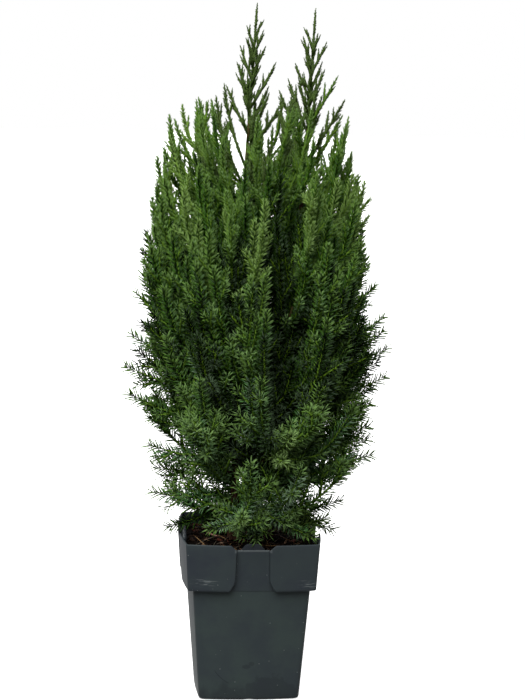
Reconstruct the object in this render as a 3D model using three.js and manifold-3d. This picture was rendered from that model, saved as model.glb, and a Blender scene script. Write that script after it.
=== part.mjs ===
// A young upright Chinese juniper in a square nursery pot.
// Millimetres, +Z up. The origin is the middle of the pot's flat underside and the front faces -Y.

import * as THREE from 'three';
import { mergeVertices } from 'three/addons/utils/BufferGeometryUtils.js';
import Module from 'manifold-3d';

const wasm = await Module();
wasm.setup();

// Pot: half widths are taken at the corners, and the bow is how far a side swells past them
const POT_HEIGHT = 161;
const POT_WALL = 1.6;
const POT_FLOOR = 2.4;
const RIM = { half: 65, bow: 5.4, corner: 3.5 };
const BAND_FOOT = { half: 62.5, bow: 4.6, corner: 4 };
const BODY_TOP = { half: 60.8, bow: 4.6, corner: 6 };
const BODY_FOOT = { half: 49.4, bow: 2.2, corner: 6 };
const BAND_HEIGHT = 47.6;
const PANEL = { topHalf: 15.5, waistHalf: 17.5, waistHeight: 4, footHalf: 21.5 };
const NOTCH = { topHalf: 21.8, footHalf: 15.5, depth: 5.5 };
const TONGUE = { half: 14, shoulder: 4, top: 162, foot: 150.8, thickness: 2 };
const DRAIN_HOLE = { radius: 4.5, offset: 31 };
const DRAIN_ARCH = { half: 7.5, height: 1.5, depth: 9 };
const OUTLINE_STEPS = 3;
const HOLE_SIDES = 8;
const CUT_REACH = 90;
const CUT_OVERRUN = 10;

// Soil and the gap that touching pieces keep
const SOIL_TOP = 150;
const GAP = 0.3;

// Trunk and second leader, as points of a cubic curve
const TRUNK_FOOT = new THREE.Vector3(-14, 0, SOIL_TOP + GAP);
const TRUNK_BENDS = [new THREE.Vector3(-14, 0, 265), new THREE.Vector3(-17, 2, 380)];
const TRUNK_TIP = new THREE.Vector3(-11, 0, 498);
const TRUNK_RADIUS = { foot: 4.6, tip: 1.5, flare: 2.8, flareHeight: 16 };
const SECOND_FORK = 0.18;
const SECOND_BRANCHES = { above: 300, towards: 0.3 };
const SECOND_BENDS = [new THREE.Vector3(8, -4, 255), new THREE.Vector3(36, 2, 370)];
const SECOND_TIP = new THREE.Vector3(45, 0, 490);
const SECOND_RADIUS = { foot: 3, tip: 1.4 };
const MAIN_SPIRE_TIP = new THREE.Vector3(-2, 0, 674);
const SECOND_SPIRE_TIP = new THREE.Vector3(54, 0, 670);
const LEADER_SIDES = 8;
const LEADER_STEPS = 8;

// Plumes: a bough leaves the trunk at a height, and the foliage that goes on from its tip ends at a
// reach from the crown's middle line and at a height. Angles are in degrees, 0 along +X, 270 to the front.
const CROWN_MIDDLE = new THREE.Vector3(8, 0, 0);
const TIERS = [
  {
    name: 'high', count: 5, firstAzimuth: 139, foot: 330, footStep: 16, reach: 76, height: 576,
    heightSpread: 14, reachSpread: 5, rise: 0.55, split: 0.2, sprays: 9, longest: 76, shortest: 34, tilt: 31,
    lift: 0.3,
  },
  {
    name: 'upper', count: 6, firstAzimuth: 0, foot: 268, footStep: 11, reach: 95, height: 508,
    heightSpread: 20, reachSpread: 4, rise: 0.5, split: 0.2, sprays: 9, longest: 82, shortest: 36, tilt: 34,
    lift: 0.35,
  },
  {
    name: 'middle', count: 6, firstAzimuth: 15, foot: 222, footStep: 7, reach: 107, height: 428,
    heightSpread: 22, reachSpread: 4, rise: 0.42, split: 0.2, sprays: 10, longest: 84, shortest: 38, tilt: 38,
    lift: 0.4,
  },
  {
    name: 'low', count: 6, firstAzimuth: 0, foot: 188, footStep: 7, reach: 124, height: 338,
    heightSpread: 20, reachSpread: 4, rise: 0.3, split: 0.18, sprays: 9, longest: 66, shortest: 34, tilt: 40,
    lift: 0.5,
  },
  {
    name: 'skirt', count: 4, firstAzimuth: 350, foot: 165, footStep: 5, reach: 88, height: 214,
    heightSpread: 24, reachSpread: 6, rise: 0.2, split: 0.2, sprays: 8, longest: 52, shortest: 32, tilt: 42,
    lift: 0.3,
  },
];
const SPIRE = { sprays: 12, longest: 74, shortest: 16, tilt: 29, lift: 0.3 };
const AZIMUTH_SPREAD = 9;
const FOOT_ORDER = 7;
const FIRST_BEND = { out: 0.42, rise: 0.5 };
const LAST_BEND = { out: 0.86, straightening: 0.2 };
const BOUGH_RADIUS = { foot: 2.4, tip: 1.5 };
const BOUGH_SIDES = 5;
const BOUGH_STEPS = 4;
const STEM_RADIUS = { foot: 1.5, tip: 0.5 };
const STEM_SIDES = 3;
const STEM_STEPS = 5;
const FIRST_SPRAY = 0.08;
const LAST_SPRAY = 0.94;
const GOLDEN_ANGLE = THREE.MathUtils.degToRad(137.5);

// A spray stands for a shoot with its needles: a slim core with opposite pairs, each turned from the last
const SPRAY_SIDES = 4;
const SPRAY_RINGS = 5;
const SPRAY_CORE = 0.034;
const SPRAY_NARROWING = 0.55;
const NEEDLE_REACH = 0.2;
const NEEDLE_RISE = 0.14;
const SPIRE_NEEDLES = 0.7;
const LENGTH_SPREAD = 0.16;
const TILT_SHARE = { foot: 1.15, tip: 0.8 };
const CLEAR = 0.5;
const SLIVER = 0.2;
const SHORTENED = [1, 0.75, 0.5];
const TIER_SEED = 1000;
const PLUME_SEED = 37;
const SPIRE_SEEDS = [9000, 9001];

const UP = new THREE.Vector3(0, 0, 1);
const FRONT = new THREE.Vector3(0, -1, 0);

// A repeatable run of numbers from 0 to 1
function seeded(seed) {
  let state = seed >>> 0;
  return () => {
    state = (state + 0x6d2b79f5) >>> 0;
    let mixed = Math.imul(state ^ (state >>> 15), state | 1);
    mixed ^= mixed + Math.imul(mixed ^ (mixed >>> 7), mixed | 61);
    return ((mixed ^ (mixed >>> 14)) >>> 0) / 4294967296;
  };
}

const mix = THREE.MathUtils.lerp;
const either = (random, spread) => spread * (2 * random() - 1);

function solid(geometry) {
  geometry.deleteAttribute('normal');
  geometry.deleteAttribute('uv');
  const merged = mergeVertices(geometry, 1e-4);
  return new wasm.Manifold(new wasm.Mesh({
    numProp: 3,
    vertProperties: new Float32Array(merged.attributes.position.array),
    triVerts: new Uint32Array(merged.index.array),
  }));
}

// The largest body alone, without loose scraps or sealed hollows
function wholeBody(shape) {
  return shape.decompose().reduce((best, body) => (body.volume() > best.volume() ? body : best));
}

function geometryOf(shape) {
  const { vertProperties, triVerts } = shape.getMesh();
  const geometry = new THREE.BufferGeometry();
  geometry.setAttribute('position', new THREE.BufferAttribute(vertProperties, 3));
  geometry.setIndex(new THREE.BufferAttribute(triVerts, 1));
  geometry.computeVertexNormals();
  return geometry;
}

// Pot

// A square with bowed sides and rounded corners, counterclockwise from above
function outline({ half, bow, corner }, inset = 0) {
  const edge = half - inset;
  const start = edge - corner;
  const shape = new THREE.Shape();
  shape.moveTo(-start, -edge);
  for (let side = 0; side < 4; side++) {
    const turned = (x, y) => new THREE.Vector2(x, y).rotateAround(new THREE.Vector2(), side * Math.PI / 2);
    const swell = turned(0, -edge - 2 * bow);
    const sideEnd = turned(start, -edge);
    const cornerPoint = turned(edge, -edge);
    const cornerEnd = turned(edge, -start);
    shape.quadraticCurveTo(swell.x, swell.y, sideEnd.x, sideEnd.y);
    shape.quadraticCurveTo(cornerPoint.x, cornerPoint.y, cornerEnd.x, cornerEnd.y);
  }
  return shape.getPoints(OUTLINE_STEPS).slice(0, -1);
}

// A straight-sided solid between two outlines with as many points each
function loft(lower, upper, bottom, top) {
  const points = lower.length;
  const geometry = new THREE.CylinderGeometry(1, 1, 1, points, 1);
  const position = geometry.attributes.position;
  for (let index = 0; index < position.count; index++) {
    const [x, y, z] = [position.getX(index), position.getY(index), position.getZ(index)];
    const level = y > 0 ? top : bottom;
    const ring = y > 0 ? upper : lower;
    const step = Math.round(Math.atan2(x, z) / (2 * Math.PI) * points + points) % points;
    const place = Math.hypot(x, z) < 0.5 ? new THREE.Vector2() : ring[step];
    position.setXYZ(index, place.x, place.y, level);
  }
  return solid(geometry);
}

// A flat outline in X and Z, run from the front of the pot towards its middle, then turned to a side
function sideCut(shape, side, front, back) {
  const geometry = new THREE.ExtrudeGeometry(shape, {
    depth: front - back, bevelEnabled: false, curveSegments: OUTLINE_STEPS,
  });
  geometry.rotateX(Math.PI / 2);
  geometry.translate(0, -back, 0);
  geometry.rotateZ(side * Math.PI / 2);
  return solid(geometry);
}

function panelShape(grow) {
  const bandFoot = POT_HEIGHT - BAND_HEIGHT;
  const over = POT_HEIGHT + CUT_OVERRUN;
  const under = bandFoot - CUT_OVERRUN;
  const waist = bandFoot + PANEL.waistHeight;
  const shape = new THREE.Shape();
  shape.moveTo(-PANEL.footHalf - grow, under);
  shape.lineTo(PANEL.footHalf + grow, under);
  shape.lineTo(PANEL.footHalf + grow, bandFoot);
  shape.quadraticCurveTo(PANEL.waistHalf + grow, waist, PANEL.topHalf + grow, over);
  shape.lineTo(-PANEL.topHalf - grow, over);
  shape.quadraticCurveTo(-PANEL.waistHalf - grow, waist, -PANEL.footHalf - grow, bandFoot);
  return shape;
}

function notchShape() {
  const slope = (NOTCH.topHalf - NOTCH.footHalf) / NOTCH.depth;
  const shape = new THREE.Shape();
  shape.moveTo(-NOTCH.footHalf, POT_HEIGHT - NOTCH.depth);
  shape.lineTo(NOTCH.footHalf, POT_HEIGHT - NOTCH.depth);
  shape.lineTo(NOTCH.topHalf + CUT_OVERRUN * slope, POT_HEIGHT + CUT_OVERRUN);
  shape.lineTo(-NOTCH.topHalf - CUT_OVERRUN * slope, POT_HEIGHT + CUT_OVERRUN);
  return shape;
}

function tongueShape() {
  const { half, shoulder, top, foot } = TONGUE;
  const shape = new THREE.Shape();
  shape.moveTo(-half, foot);
  shape.lineTo(half, foot);
  shape.lineTo(half, top - shoulder);
  shape.quadraticCurveTo(half, top, half - shoulder, top);
  shape.lineTo(shoulder - half, top);
  shape.quadraticCurveTo(-half, top, -half, top - shoulder);
  return shape;
}

function archShape() {
  const { half, height } = DRAIN_ARCH;
  const shape = new THREE.Shape();
  shape.moveTo(-half, -height);
  shape.lineTo(half, -height);
  shape.quadraticCurveTo(half, height, half / 2, height);
  shape.lineTo(-half / 2, height);
  shape.quadraticCurveTo(-half, height, -half, -height);
  return shape;
}

// The pot's shape set in by an even inset: its outside at 0, its inside at the wall's thickness
function potForm(inset, bottom, top) {
  const bandFoot = POT_HEIGHT - BAND_HEIGHT;
  const at = (z) => ({
    half: mix(BODY_FOOT.half, BODY_TOP.half, z / POT_HEIGHT),
    bow: mix(BODY_FOOT.bow, BODY_TOP.bow, z / POT_HEIGHT),
    corner: BODY_FOOT.corner,
  });
  const bandAt = (z) => ({
    half: mix(BAND_FOOT.half, RIM.half, (z - bandFoot) / BAND_HEIGHT),
    bow: mix(BAND_FOOT.bow, RIM.bow, (z - bandFoot) / BAND_HEIGHT),
    corner: mix(BAND_FOOT.corner, RIM.corner, (z - bandFoot) / BAND_HEIGHT),
  });
  const body = loft(outline(at(bottom), inset), outline(at(top), inset), bottom, top);
  const low = bandFoot + inset;
  let band = loft(outline(bandAt(low), inset), outline(bandAt(top), inset), low, top);
  for (let side = 0; side < 4; side++) {
    band = band.subtract(sideCut(panelShape(inset), side, CUT_REACH, 0));
  }
  return body.add(band);
}

function makePot() {
  let pot = potForm(0, 0, POT_HEIGHT).subtract(potForm(POT_WALL, POT_FLOOR, POT_HEIGHT + CUT_OVERRUN));
  const panelFace = BODY_TOP.half + BODY_TOP.bow - POT_WALL / 2;
  for (let side = 0; side < 4; side++) {
    pot = pot.subtract(sideCut(notchShape(), side, CUT_REACH, RIM.half / 2));
    pot = pot.add(sideCut(tongueShape(), side, panelFace, panelFace - TONGUE.thickness));
    const archBack = BODY_FOOT.half - DRAIN_ARCH.depth;
    pot = pot.subtract(sideCut(archShape(), side, CUT_REACH, archBack));
    const hole = new THREE.CylinderGeometry(DRAIN_HOLE.radius, DRAIN_HOLE.radius, 4 * POT_FLOOR, HOLE_SIDES);
    hole.rotateX(Math.PI / 2);
    hole.translate(DRAIN_HOLE.offset, DRAIN_HOLE.offset, 0);
    hole.rotateZ(side * Math.PI / 2);
    pot = pot.subtract(solid(hole));
  }
  return wholeBody(pot);
}

function makeSoil() {
  return potForm(POT_WALL + GAP, POT_FLOOR + GAP, SOIL_TOP);
}

// Limbs

// A tapering limb along part of a curve, in even steps of the curve's own parameter
function limb(curve, from, to, radiusAt, sides, steps) {
  const geometry = new THREE.CylinderGeometry(1, 1, 1, sides, steps);
  const position = geometry.attributes.position;
  for (let index = 0; index < position.count; index++) {
    const [x, y, z] = [position.getX(index), position.getY(index), position.getZ(index)];
    const share = y + 0.5;
    const t = mix(from, to, share);
    const radius = Math.hypot(x, z) < 0.5 ? 0 : radiusAt(share);
    const tangent = curve.getTangent(t);
    const across = new THREE.Vector3().crossVectors(tangent, FRONT).normalize();
    const behind = new THREE.Vector3().crossVectors(across, tangent);
    const place = curve.getPoint(t).addScaledVector(across, x * radius).addScaledVector(behind, z * radius);
    position.setXYZ(index, place.x, place.y, place.z);
  }
  return solid(geometry);
}

const taper = ({ foot, tip }, extra = 0) => (share) => mix(foot, tip, share) + extra;

function trunkRadius(extra = 0) {
  const length = TRUNK_TIP.z - TRUNK_FOOT.z;
  const { foot, tip, flare, flareHeight } = TRUNK_RADIUS;
  return (share) => mix(foot, tip, share) + flare * Math.exp(-share * length / flareHeight) + extra;
}

const trunkCurve = new THREE.CubicBezierCurve3(TRUNK_FOOT, ...TRUNK_BENDS, TRUNK_TIP);
const secondCurve = new THREE.CubicBezierCurve3(
  trunkCurve.getPoint(SECOND_FORK), ...SECOND_BENDS, SECOND_TIP,
);

// The point of a rising curve at a height
function pointAtHeight(curve, height) {
  let [low, high] = [0, 1];
  for (let turn = 0; turn < 24; turn++) {
    const middle = (low + high) / 2;
    if (curve.getPoint(middle).z < height) low = middle;
    else high = middle;
  }
  return curve.getPoint(low);
}

// One rising curve from the trunk's middle line, or the second leader's, out to the plume's tip
function plumeCurve(tier, index, random) {
  const degrees = tier.firstAzimuth + 360 * index / tier.count + either(random, AZIMUTH_SPREAD);
  const azimuth = THREE.MathUtils.degToRad(degrees);
  const reach = tier.reach + either(random, tier.reachSpread);
  const height = tier.height + either(random, tier.heightSpread);
  const outward = new THREE.Vector3(Math.cos(azimuth), Math.sin(azimuth), 0);
  const tip = CROWN_MIDDLE.clone().addScaledVector(outward, reach).setZ(height);
  const footHeight = tier.foot + tier.footStep * ((index * FOOT_ORDER) % tier.count);
  const onSecond = footHeight > SECOND_BRANCHES.above && outward.x > SECOND_BRANCHES.towards;
  const foot = pointAtHeight(onSecond ? secondCurve : trunkCurve, footHeight);
  const level = tip.clone().sub(foot).setZ(0);
  const climb = tip.z - foot.z;
  const firstRise = climb * tier.rise * FIRST_BEND.rise;
  const lastRise = climb * mix(tier.rise, 1, LAST_BEND.straightening);
  const firstBend = foot.clone().addScaledVector(level, FIRST_BEND.out).addScaledVector(UP, firstRise);
  const lastBend = foot.clone().addScaledVector(level, LAST_BEND.out).addScaledVector(UP, lastRise);
  return new THREE.CubicBezierCurve3(foot, firstBend, lastBend, tip);
}

// Foliage

// A slim core, pointed at both ends, whose corners stand out in turn as needles
function spray(base, direction, length, needles) {
  const geometry = new THREE.SphereGeometry(1, SPRAY_SIDES, SPRAY_RINGS);
  const position = geometry.attributes.position;
  for (let index = 0; index < position.count; index++) {
    const [x, y, z] = [position.getX(index), position.getY(index), position.getZ(index)];
    const ring = Math.round((1 - Math.acos(y) / Math.PI) * SPRAY_RINGS);
    const corner = Math.round(Math.atan2(x, z) / (2 * Math.PI) * SPRAY_SIDES + SPRAY_SIDES);
    const angle = corner * 2 * Math.PI / SPRAY_SIDES;
    const share = ring / SPRAY_RINGS;
    const isEnd = ring === 0 || ring === SPRAY_RINGS;
    const isNeedle = !isEnd && (ring + corner) % 2 === 0;
    const fullness = 1 - SPRAY_NARROWING * share;
    const radius = isEnd ? 0 : length * fullness * (isNeedle ? NEEDLE_REACH * needles : SPRAY_CORE);
    const along = length * (share + (isNeedle ? NEEDLE_RISE : 0));
    position.setXYZ(index, radius * Math.sin(angle), along, radius * Math.cos(angle));
  }
  geometry.applyQuaternion(new THREE.Quaternion().setFromUnitVectors(new THREE.Vector3(0, 1, 0), direction));
  geometry.translate(base.x, base.y, base.z);
  return solid(geometry);
}

// Where the next spray of a stem stands, and how long it is
function nextSpray(curve, start, rule, index, turn, random) {
  const share = (index + random()) / rule.sprays;
  const t = mix(start, 1, mix(FIRST_SPRAY, LAST_SPRAY, share));
  const length = mix(rule.longest, rule.shortest, share) * (1 + either(random, LENGTH_SPREAD));
  const tilt = THREE.MathUtils.degToRad(rule.tilt * mix(TILT_SHARE.foot, TILT_SHARE.tip, share));
  const tangent = curve.getTangent(t);
  const across = new THREE.Vector3().crossVectors(tangent, FRONT).normalize();
  const behind = new THREE.Vector3().crossVectors(across, tangent);
  const direction = tangent.clone().multiplyScalar(Math.cos(tilt))
    .addScaledVector(across, Math.sin(tilt) * Math.cos(turn))
    .addScaledVector(behind, Math.sin(tilt) * Math.sin(turn))
    .addScaledVector(UP, rule.lift)
    .normalize();
  return { base: curve.getPoint(t), direction, length };
}

function boxesMeet(a, b, margin) {
  return [0, 1, 2].every((axis) => a.min[axis] - margin < b.max[axis] && b.min[axis] - margin < a.max[axis]);
}

function isClear(shape, others, gap) {
  const box = shape.boundingBox();
  const near = others.filter((other) => boxesMeet(box, other.boundingBox(), gap));
  return near.every((other) => shape.minGap(other, 2 * gap) >= gap);
}

// The first point of a curve that is the gap's width past another
function startAfter(curve, t) {
  const step = 0.01;
  return t + step * GAP / curve.getPoint(t).distanceTo(curve.getPoint(t + step));
}

const leaderLimb = (curve, radiusAt) => limb(curve, 0, 1, radiusAt, LEADER_SIDES, LEADER_STEPS);
const trunk = leaderLimb(trunkCurve, trunkRadius());
const trunkRoom = leaderLimb(trunkCurve, trunkRadius(GAP));
const second = wholeBody(leaderLimb(secondCurve, taper(SECOND_RADIUS)).subtract(trunkRoom));
const secondRoom = leaderLimb(secondCurve, taper(SECOND_RADIUS, GAP));

// A bough and the foliage that goes on from its tip
function boughPlume(tier, index, seed) {
  const random = seeded(seed);
  const curve = plumeCurve(tier, index, random);
  const bough = limb(curve, 0, tier.split, taper(BOUGH_RADIUS), BOUGH_SIDES, BOUGH_STEPS);
  return {
    label: `${tier.name}_${index + 1}`, rule: tier, needles: 1, random, curve,
    start: startAfter(curve, tier.split),
    bough: wholeBody(bough.subtract(trunkRoom).subtract(secondRoom)),
  };
}

// The foliage that goes on from a leader's own tip
function spirePlume(label, leader, tip, seed) {
  const foot = leader.getPoint(1);
  const onward = leader.getTangent(1).multiplyScalar(foot.distanceTo(tip) / 3);
  const lastBend = new THREE.Vector3().lerpVectors(foot, tip, 2 / 3);
  const curve = new THREE.CubicBezierCurve3(foot, foot.clone().add(onward), lastBend, tip);
  return {
    label, rule: SPIRE, needles: SPIRE_NEEDLES, random: seeded(seed), curve,
    start: startAfter(curve, 0),
    bough: null,
  };
}

const plumes = TIERS.flatMap((tier, row) => Array.from(
  { length: tier.count },
  (_, index) => boughPlume(tier, index, TIER_SEED * (row + 1) + PLUME_SEED * index),
));
plumes.push(spirePlume('main_spire', trunkCurve, MAIN_SPIRE_TIP, SPIRE_SEEDS[0]));
plumes.push(spirePlume('second_spire', secondCurve, SECOND_SPIRE_TIP, SPIRE_SEEDS[1]));

const pot = makePot();
const soil = makeSoil();
const boughs = plumes.map((plume) => plume.bough).filter((bough) => bough);
const fixtures = [pot, soil, trunk, second, ...boughs];
for (const plume of plumes) {
  plume.stem = limb(plume.curve, plume.start, 1, taper(STEM_RADIUS), STEM_SIDES, STEM_STEPS);
  plume.sprays = [];
  plume.turn = 2 * Math.PI * plume.random();
}

// A spray is shortened to keep clear of its neighbours, or left out where even that touches
function growSpray(plume, index) {
  plume.turn += GOLDEN_ANGLE;
  const { base, direction, length } = nextSpray(
    plume.curve, plume.start, plume.rule, index, plume.turn, plume.random,
  );
  const others = plumes.filter((other) => other !== plume).flatMap((other) => [other.stem, ...other.sprays]);
  const fitting = SHORTENED.map((share) => spray(base, direction, length * share, plume.needles))
    .find((shape) => isClear(shape, [...fixtures, ...others], CLEAR));
  if (fitting) plume.sprays.push(fitting);
}

// The plumes take turns, so that each fills its own space evenly
const mostSprays = Math.max(...plumes.map((plume) => plume.rule.sprays));
for (let index = 0; index < mostSprays; index++) {
  plumes.filter((plume) => index < plume.rule.sprays).forEach((plume) => growSpray(plume, index));
}

const MATERIALS = {
  pot: new THREE.MeshStandardMaterial({ color: 0x373e40, roughness: 0.55, metalness: 0 }),
  soil: new THREE.MeshStandardMaterial({ color: 0x2b241c, roughness: 1, metalness: 0 }),
  bark: new THREE.MeshStandardMaterial({ color: 0x5d4230, roughness: 0.9, metalness: 0 }),
  needles: new THREE.MeshStandardMaterial({ color: 0x3d5229, roughness: 0.7, metalness: 0 }),
};

const juniper = new THREE.Group();

function place(name, shape, material) {
  const mesh = new THREE.Mesh(geometryOf(shape), material);
  mesh.name = name;
  juniper.add(mesh);
}

place('pot', pot, MATERIALS.pot);
place('soil', soil, MATERIALS.soil);
place('trunk', trunk, MATERIALS.bark);
place('second_leader', second, MATERIALS.bark);
for (const { label, bough, stem, sprays } of plumes) {
  if (bough) place(`bough_${label}`, bough, MATERIALS.bark);
  const fused = wasm.Manifold.union([stem, ...sprays]).simplify(SLIVER);
  place(`foliage_${label}`, wholeBody(fused), MATERIALS.needles);
}

export default juniper;
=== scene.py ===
import math
from collections import namedtuple
from functools import reduce
from itertools import chain

import bpy
import numpy as np
from mathutils import Matrix, Vector, noise


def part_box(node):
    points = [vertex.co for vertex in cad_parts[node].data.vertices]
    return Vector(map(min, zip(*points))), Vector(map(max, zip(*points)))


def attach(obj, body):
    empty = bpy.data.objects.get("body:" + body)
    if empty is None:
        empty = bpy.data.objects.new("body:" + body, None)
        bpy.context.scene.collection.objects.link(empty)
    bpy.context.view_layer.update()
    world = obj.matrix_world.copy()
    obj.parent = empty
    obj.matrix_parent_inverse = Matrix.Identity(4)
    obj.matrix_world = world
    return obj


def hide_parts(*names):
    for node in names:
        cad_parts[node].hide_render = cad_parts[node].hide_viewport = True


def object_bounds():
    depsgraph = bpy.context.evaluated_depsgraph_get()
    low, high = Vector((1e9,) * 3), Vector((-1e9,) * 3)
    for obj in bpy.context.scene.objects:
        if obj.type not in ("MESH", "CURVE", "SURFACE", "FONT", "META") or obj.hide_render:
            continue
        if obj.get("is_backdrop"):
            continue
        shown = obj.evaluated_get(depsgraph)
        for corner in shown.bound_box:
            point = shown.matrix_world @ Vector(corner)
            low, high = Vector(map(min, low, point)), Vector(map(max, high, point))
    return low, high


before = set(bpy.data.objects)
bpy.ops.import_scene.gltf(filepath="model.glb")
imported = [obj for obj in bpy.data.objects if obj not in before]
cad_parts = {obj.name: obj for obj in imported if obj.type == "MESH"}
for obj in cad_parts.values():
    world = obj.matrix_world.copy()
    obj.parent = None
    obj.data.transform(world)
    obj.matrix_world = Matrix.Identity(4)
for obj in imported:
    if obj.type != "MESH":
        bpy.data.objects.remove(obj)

bl_info = {
    "name": "Potted Chinese Juniper",
    "version": (1, 0, 0),
    "blender": (4, 5, 0),
    "location": "View3D > Sidebar > Juniper",
    "description": "Grows a young upright juniper in a square nursery pot, around its packed frame",
    "category": "Add Mesh",
}

CAD_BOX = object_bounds()
_, SOIL_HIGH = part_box("soil")
POT_LOW, POT_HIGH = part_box("pot")

# Sizes are in metres, and the front faces -Y. Points closer together than the seam are sewn.
UP = Vector((0, 0, 1))
FRONT = Vector((0, -1, 0))
SEAM = 1e-6

# Pot: half widths are taken at the corners, and the bow is how far a side swells past them
Outline = namedtuple("Outline", "half bow corner")
RIM = Outline(0.0650, 0.0054, 0.0035)
BAND_FOOT = Outline(0.0625, 0.0046, 0.0040)
BODY_TOP = Outline(0.0608, 0.0046, 0.0060)
BODY_FOOT = Outline(0.0494, 0.0022, 0.0060)
PANEL_HALF = 0.0155
PANEL_SPREAD = 0.0008
PANEL_FLARE = 0.0062
PANEL_FLARE_HEIGHT = 0.014
PANEL_LIFT = 0.07
NOTCH_TOP_HALF = 0.0218
NOTCH_FOOT_HALF = 0.0155
NOTCH_DEPTH = 0.0055
TONGUE_HALF = 0.0135
TONGUE_FLAT_HALF = 0.0055
TONGUE_FOOT = 0.1508
TONGUE_THICKNESS = 0.002
TONGUE_DROP = 0.0006
TONGUE_FALL = NOTCH_DEPTH + 0.0015
TONGUE_CURVE = 2.2
TONGUE_ROUND = 0.0005
TONGUE_GRID = (14, 5)
DRAIN_HOLE_RADIUS = 0.0045
DRAIN_HOLE_OFFSET = 0.031
DRAIN_ARCH_HALF = 0.0075
DRAIN_ARCH_HEIGHT = 0.0015
DRAIN_ARCH_DEPTH = 0.009
DRAIN_HOLE_SIDES = 24
DRAIN_ARCH_SIDES = 128
POT_FLOOR = 0.0024
POT_WALL = 0.0016
FOOT_ROUND = 0.0035
BODY_END = 0.0008
STEP_WIDTH = 0.0015
LEDGE_WIDTH = 0.0018
RIM_ROUND = 0.0014
POT_CREASE = 38

# Stations from the middle of a side to the middle of a corner: the zone, the place in it, and the share of
# the band's step
STATIONS = (
    [("panel", share, PANEL_LIFT) for share in (0, 0.3, 0.6, 0.85)]
    + [("step", offset, lift) for offset, lift in (
        (-0.0011, PANEL_LIFT), (-0.0004, 0.12), (0.0002, 0.55), (0.0006, 0.87), (0.0010, 0.97),
        (STEP_WIDTH, 1))]
    + [("band", share, 1) for share in (0.02, 0.05, 0.09, 0.12, 0.15, 0.2, 0.32, 0.48, 0.64, 0.82, 1)]
    + [("corner", share, 1) for share in (0.2, 0.36, 0.5)]
)
SIDE_COLUMNS = 2 * len(STATIONS) - 2

# Rows from the middle of the underside, up the outside, over the rim and down the inside to the floor:
# the level that a height is taken from, the height or share, the share of the band's step, and the inset
POT_ROWS = (
    [("middle", 0, 0, 0), ("plain", 0, 0, 0.02), ("plain", 0, 0, 0.0045), ("plain", 0.0004, 0, 0.0016)]
    + [("plain", 0.0014, 0, 0.0004), ("plain", FOOT_ROUND, 0, 0)]
    + [("body", share, 0, 0) for share in (0.1, 0.2, 0.3, 0.4, 0.5, 0.6, 0.7, 0.8, 0.9, 0.96, 1)]
    + [("foot", offset, lift, 0) for offset, lift in (
        (-0.0002, 0.08), (0.0002, 0.5), (0.0006, 0.87), (0.0011, 0.97), (LEDGE_WIDTH, 1))]
    + [("band", share, 1, 0) for share in (0.06, 0.14, 0.22, 0.3, 0.42, 0.54, 0.66, 0.78, 0.9, 1)]
    + [("rim", drop, 1, inset) for drop, inset in (
        (0.0005, 0.0001), (0.0001, 0.0004), (0, 0.0008), (0.0001, 0.0012), (0.0005, 0.0015))]
    + [("inner", share, 1, POT_WALL) for share in (0, 0.1, 0.2, 0.3, 0.6, 1)]
    + [("plain", height, 0, POT_WALL) for height in (0.112, 0.06, POT_FLOOR)]
    + [("middle", POT_FLOOR, 0, 0)]
)

# Marks on the pot. A spot has a middle and a reach. A patch is made of spots and has a torn edge: the tear's
# scale and depth, the levels between which the patch fades in, and its strength.
Spot = namedtuple("Spot", "middle reach")
Patch = namedtuple("Patch", "spots scale tear edge strength")
SPOT_EDGE = (1, 0.2)
POOL = Patch(
    spots=[Spot((0.020, -0.052, 0.006), (0.036, 0.03, 0.026))],
    scale=120, tear=1.15, edge=(0.2, 0.40), strength=0.42)
SMUDGE = Patch(
    spots=[
        Spot((0.0015, -0.056, 0.0385), (0.0045, 0.02, 0.0035)),
        Spot((-0.0035, -0.056, 0.0355), (0.0065, 0.02, 0.0035)),
    ],
    scale=110, tear=0.9, edge=(0.3, 0.6), strength=0.42)
DAMP_FOOT = (0.047, 0.026)
DAMP_RAGGEDNESS = 0.05
DAMP_STRENGTH = 0.55
BAND_EDGE = (0.112, 0.115)
BAND_BLUENESS, CLOUD_BLUENESS = 0.45, 0.6
SCRATCH_MIDDLE = (-0.028, -0.054, 0.0235)
SCRATCH_TURN = math.radians(-42)
SCRATCH_BOW = -14
SCRATCH_EDGE = (0.0005, 0.0002)
SCRATCH_END = (0.011, 0.008)
SCRATCH_STRENGTH = 0.75
FRONT_SIDE = -0.04
LEFT_SCUFF = Spot((-0.048, -0.067, 0.1235), (0.019, 0.03, 0.0055))
RIGHT_SCUFF = Spot((0.053, -0.067, 0.1210), (0.015, 0.03, 0.0065))
RIGHT_SCUFF_SHARE = 0.7
SCUFF_TURN = math.radians(-14)
SCUFF_STRETCH = (60, 60, 700)
SCUFF_STRENGTH = 0.55
SPECK_SCALE = 210
SPECK_EDGE = (0.13, 0.06)
SPECK_RARITY = 0.77
SPECK_STRENGTH = 0.6
# Where the edge of each rim notch is lightened, as a painted highlight
LIP_FOOT, LIP_TOP = (0.1535, 0.1541), (0.1575, 0.1565)
LIP_END = (0.0185, 0.0175)
LIP_HIGHLIGHT = 0.22
DRY_ROUGHNESS, DAMP_GLOSS, GRAIN_ROUGHNESS = 0.42, -0.12, 0.1
WAVE_DEPTH = 6

# Soil. Lumps are given as a scale and a depth.
SOIL_GAP = 0.0003
SOIL_SINK = 0.0015
SOIL_EDGE_DROP = 0.002
SOIL_OVER_STEP, SOIL_UNDER_STEP = 0.004, 0.002
SOIL_MARGIN = 0.012
SOIL_RINGS = 30
SOIL_CREASE = 60
LUMPS = ((70, 0.0030), (190, 0.0016), (420, 0.0009))

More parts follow.
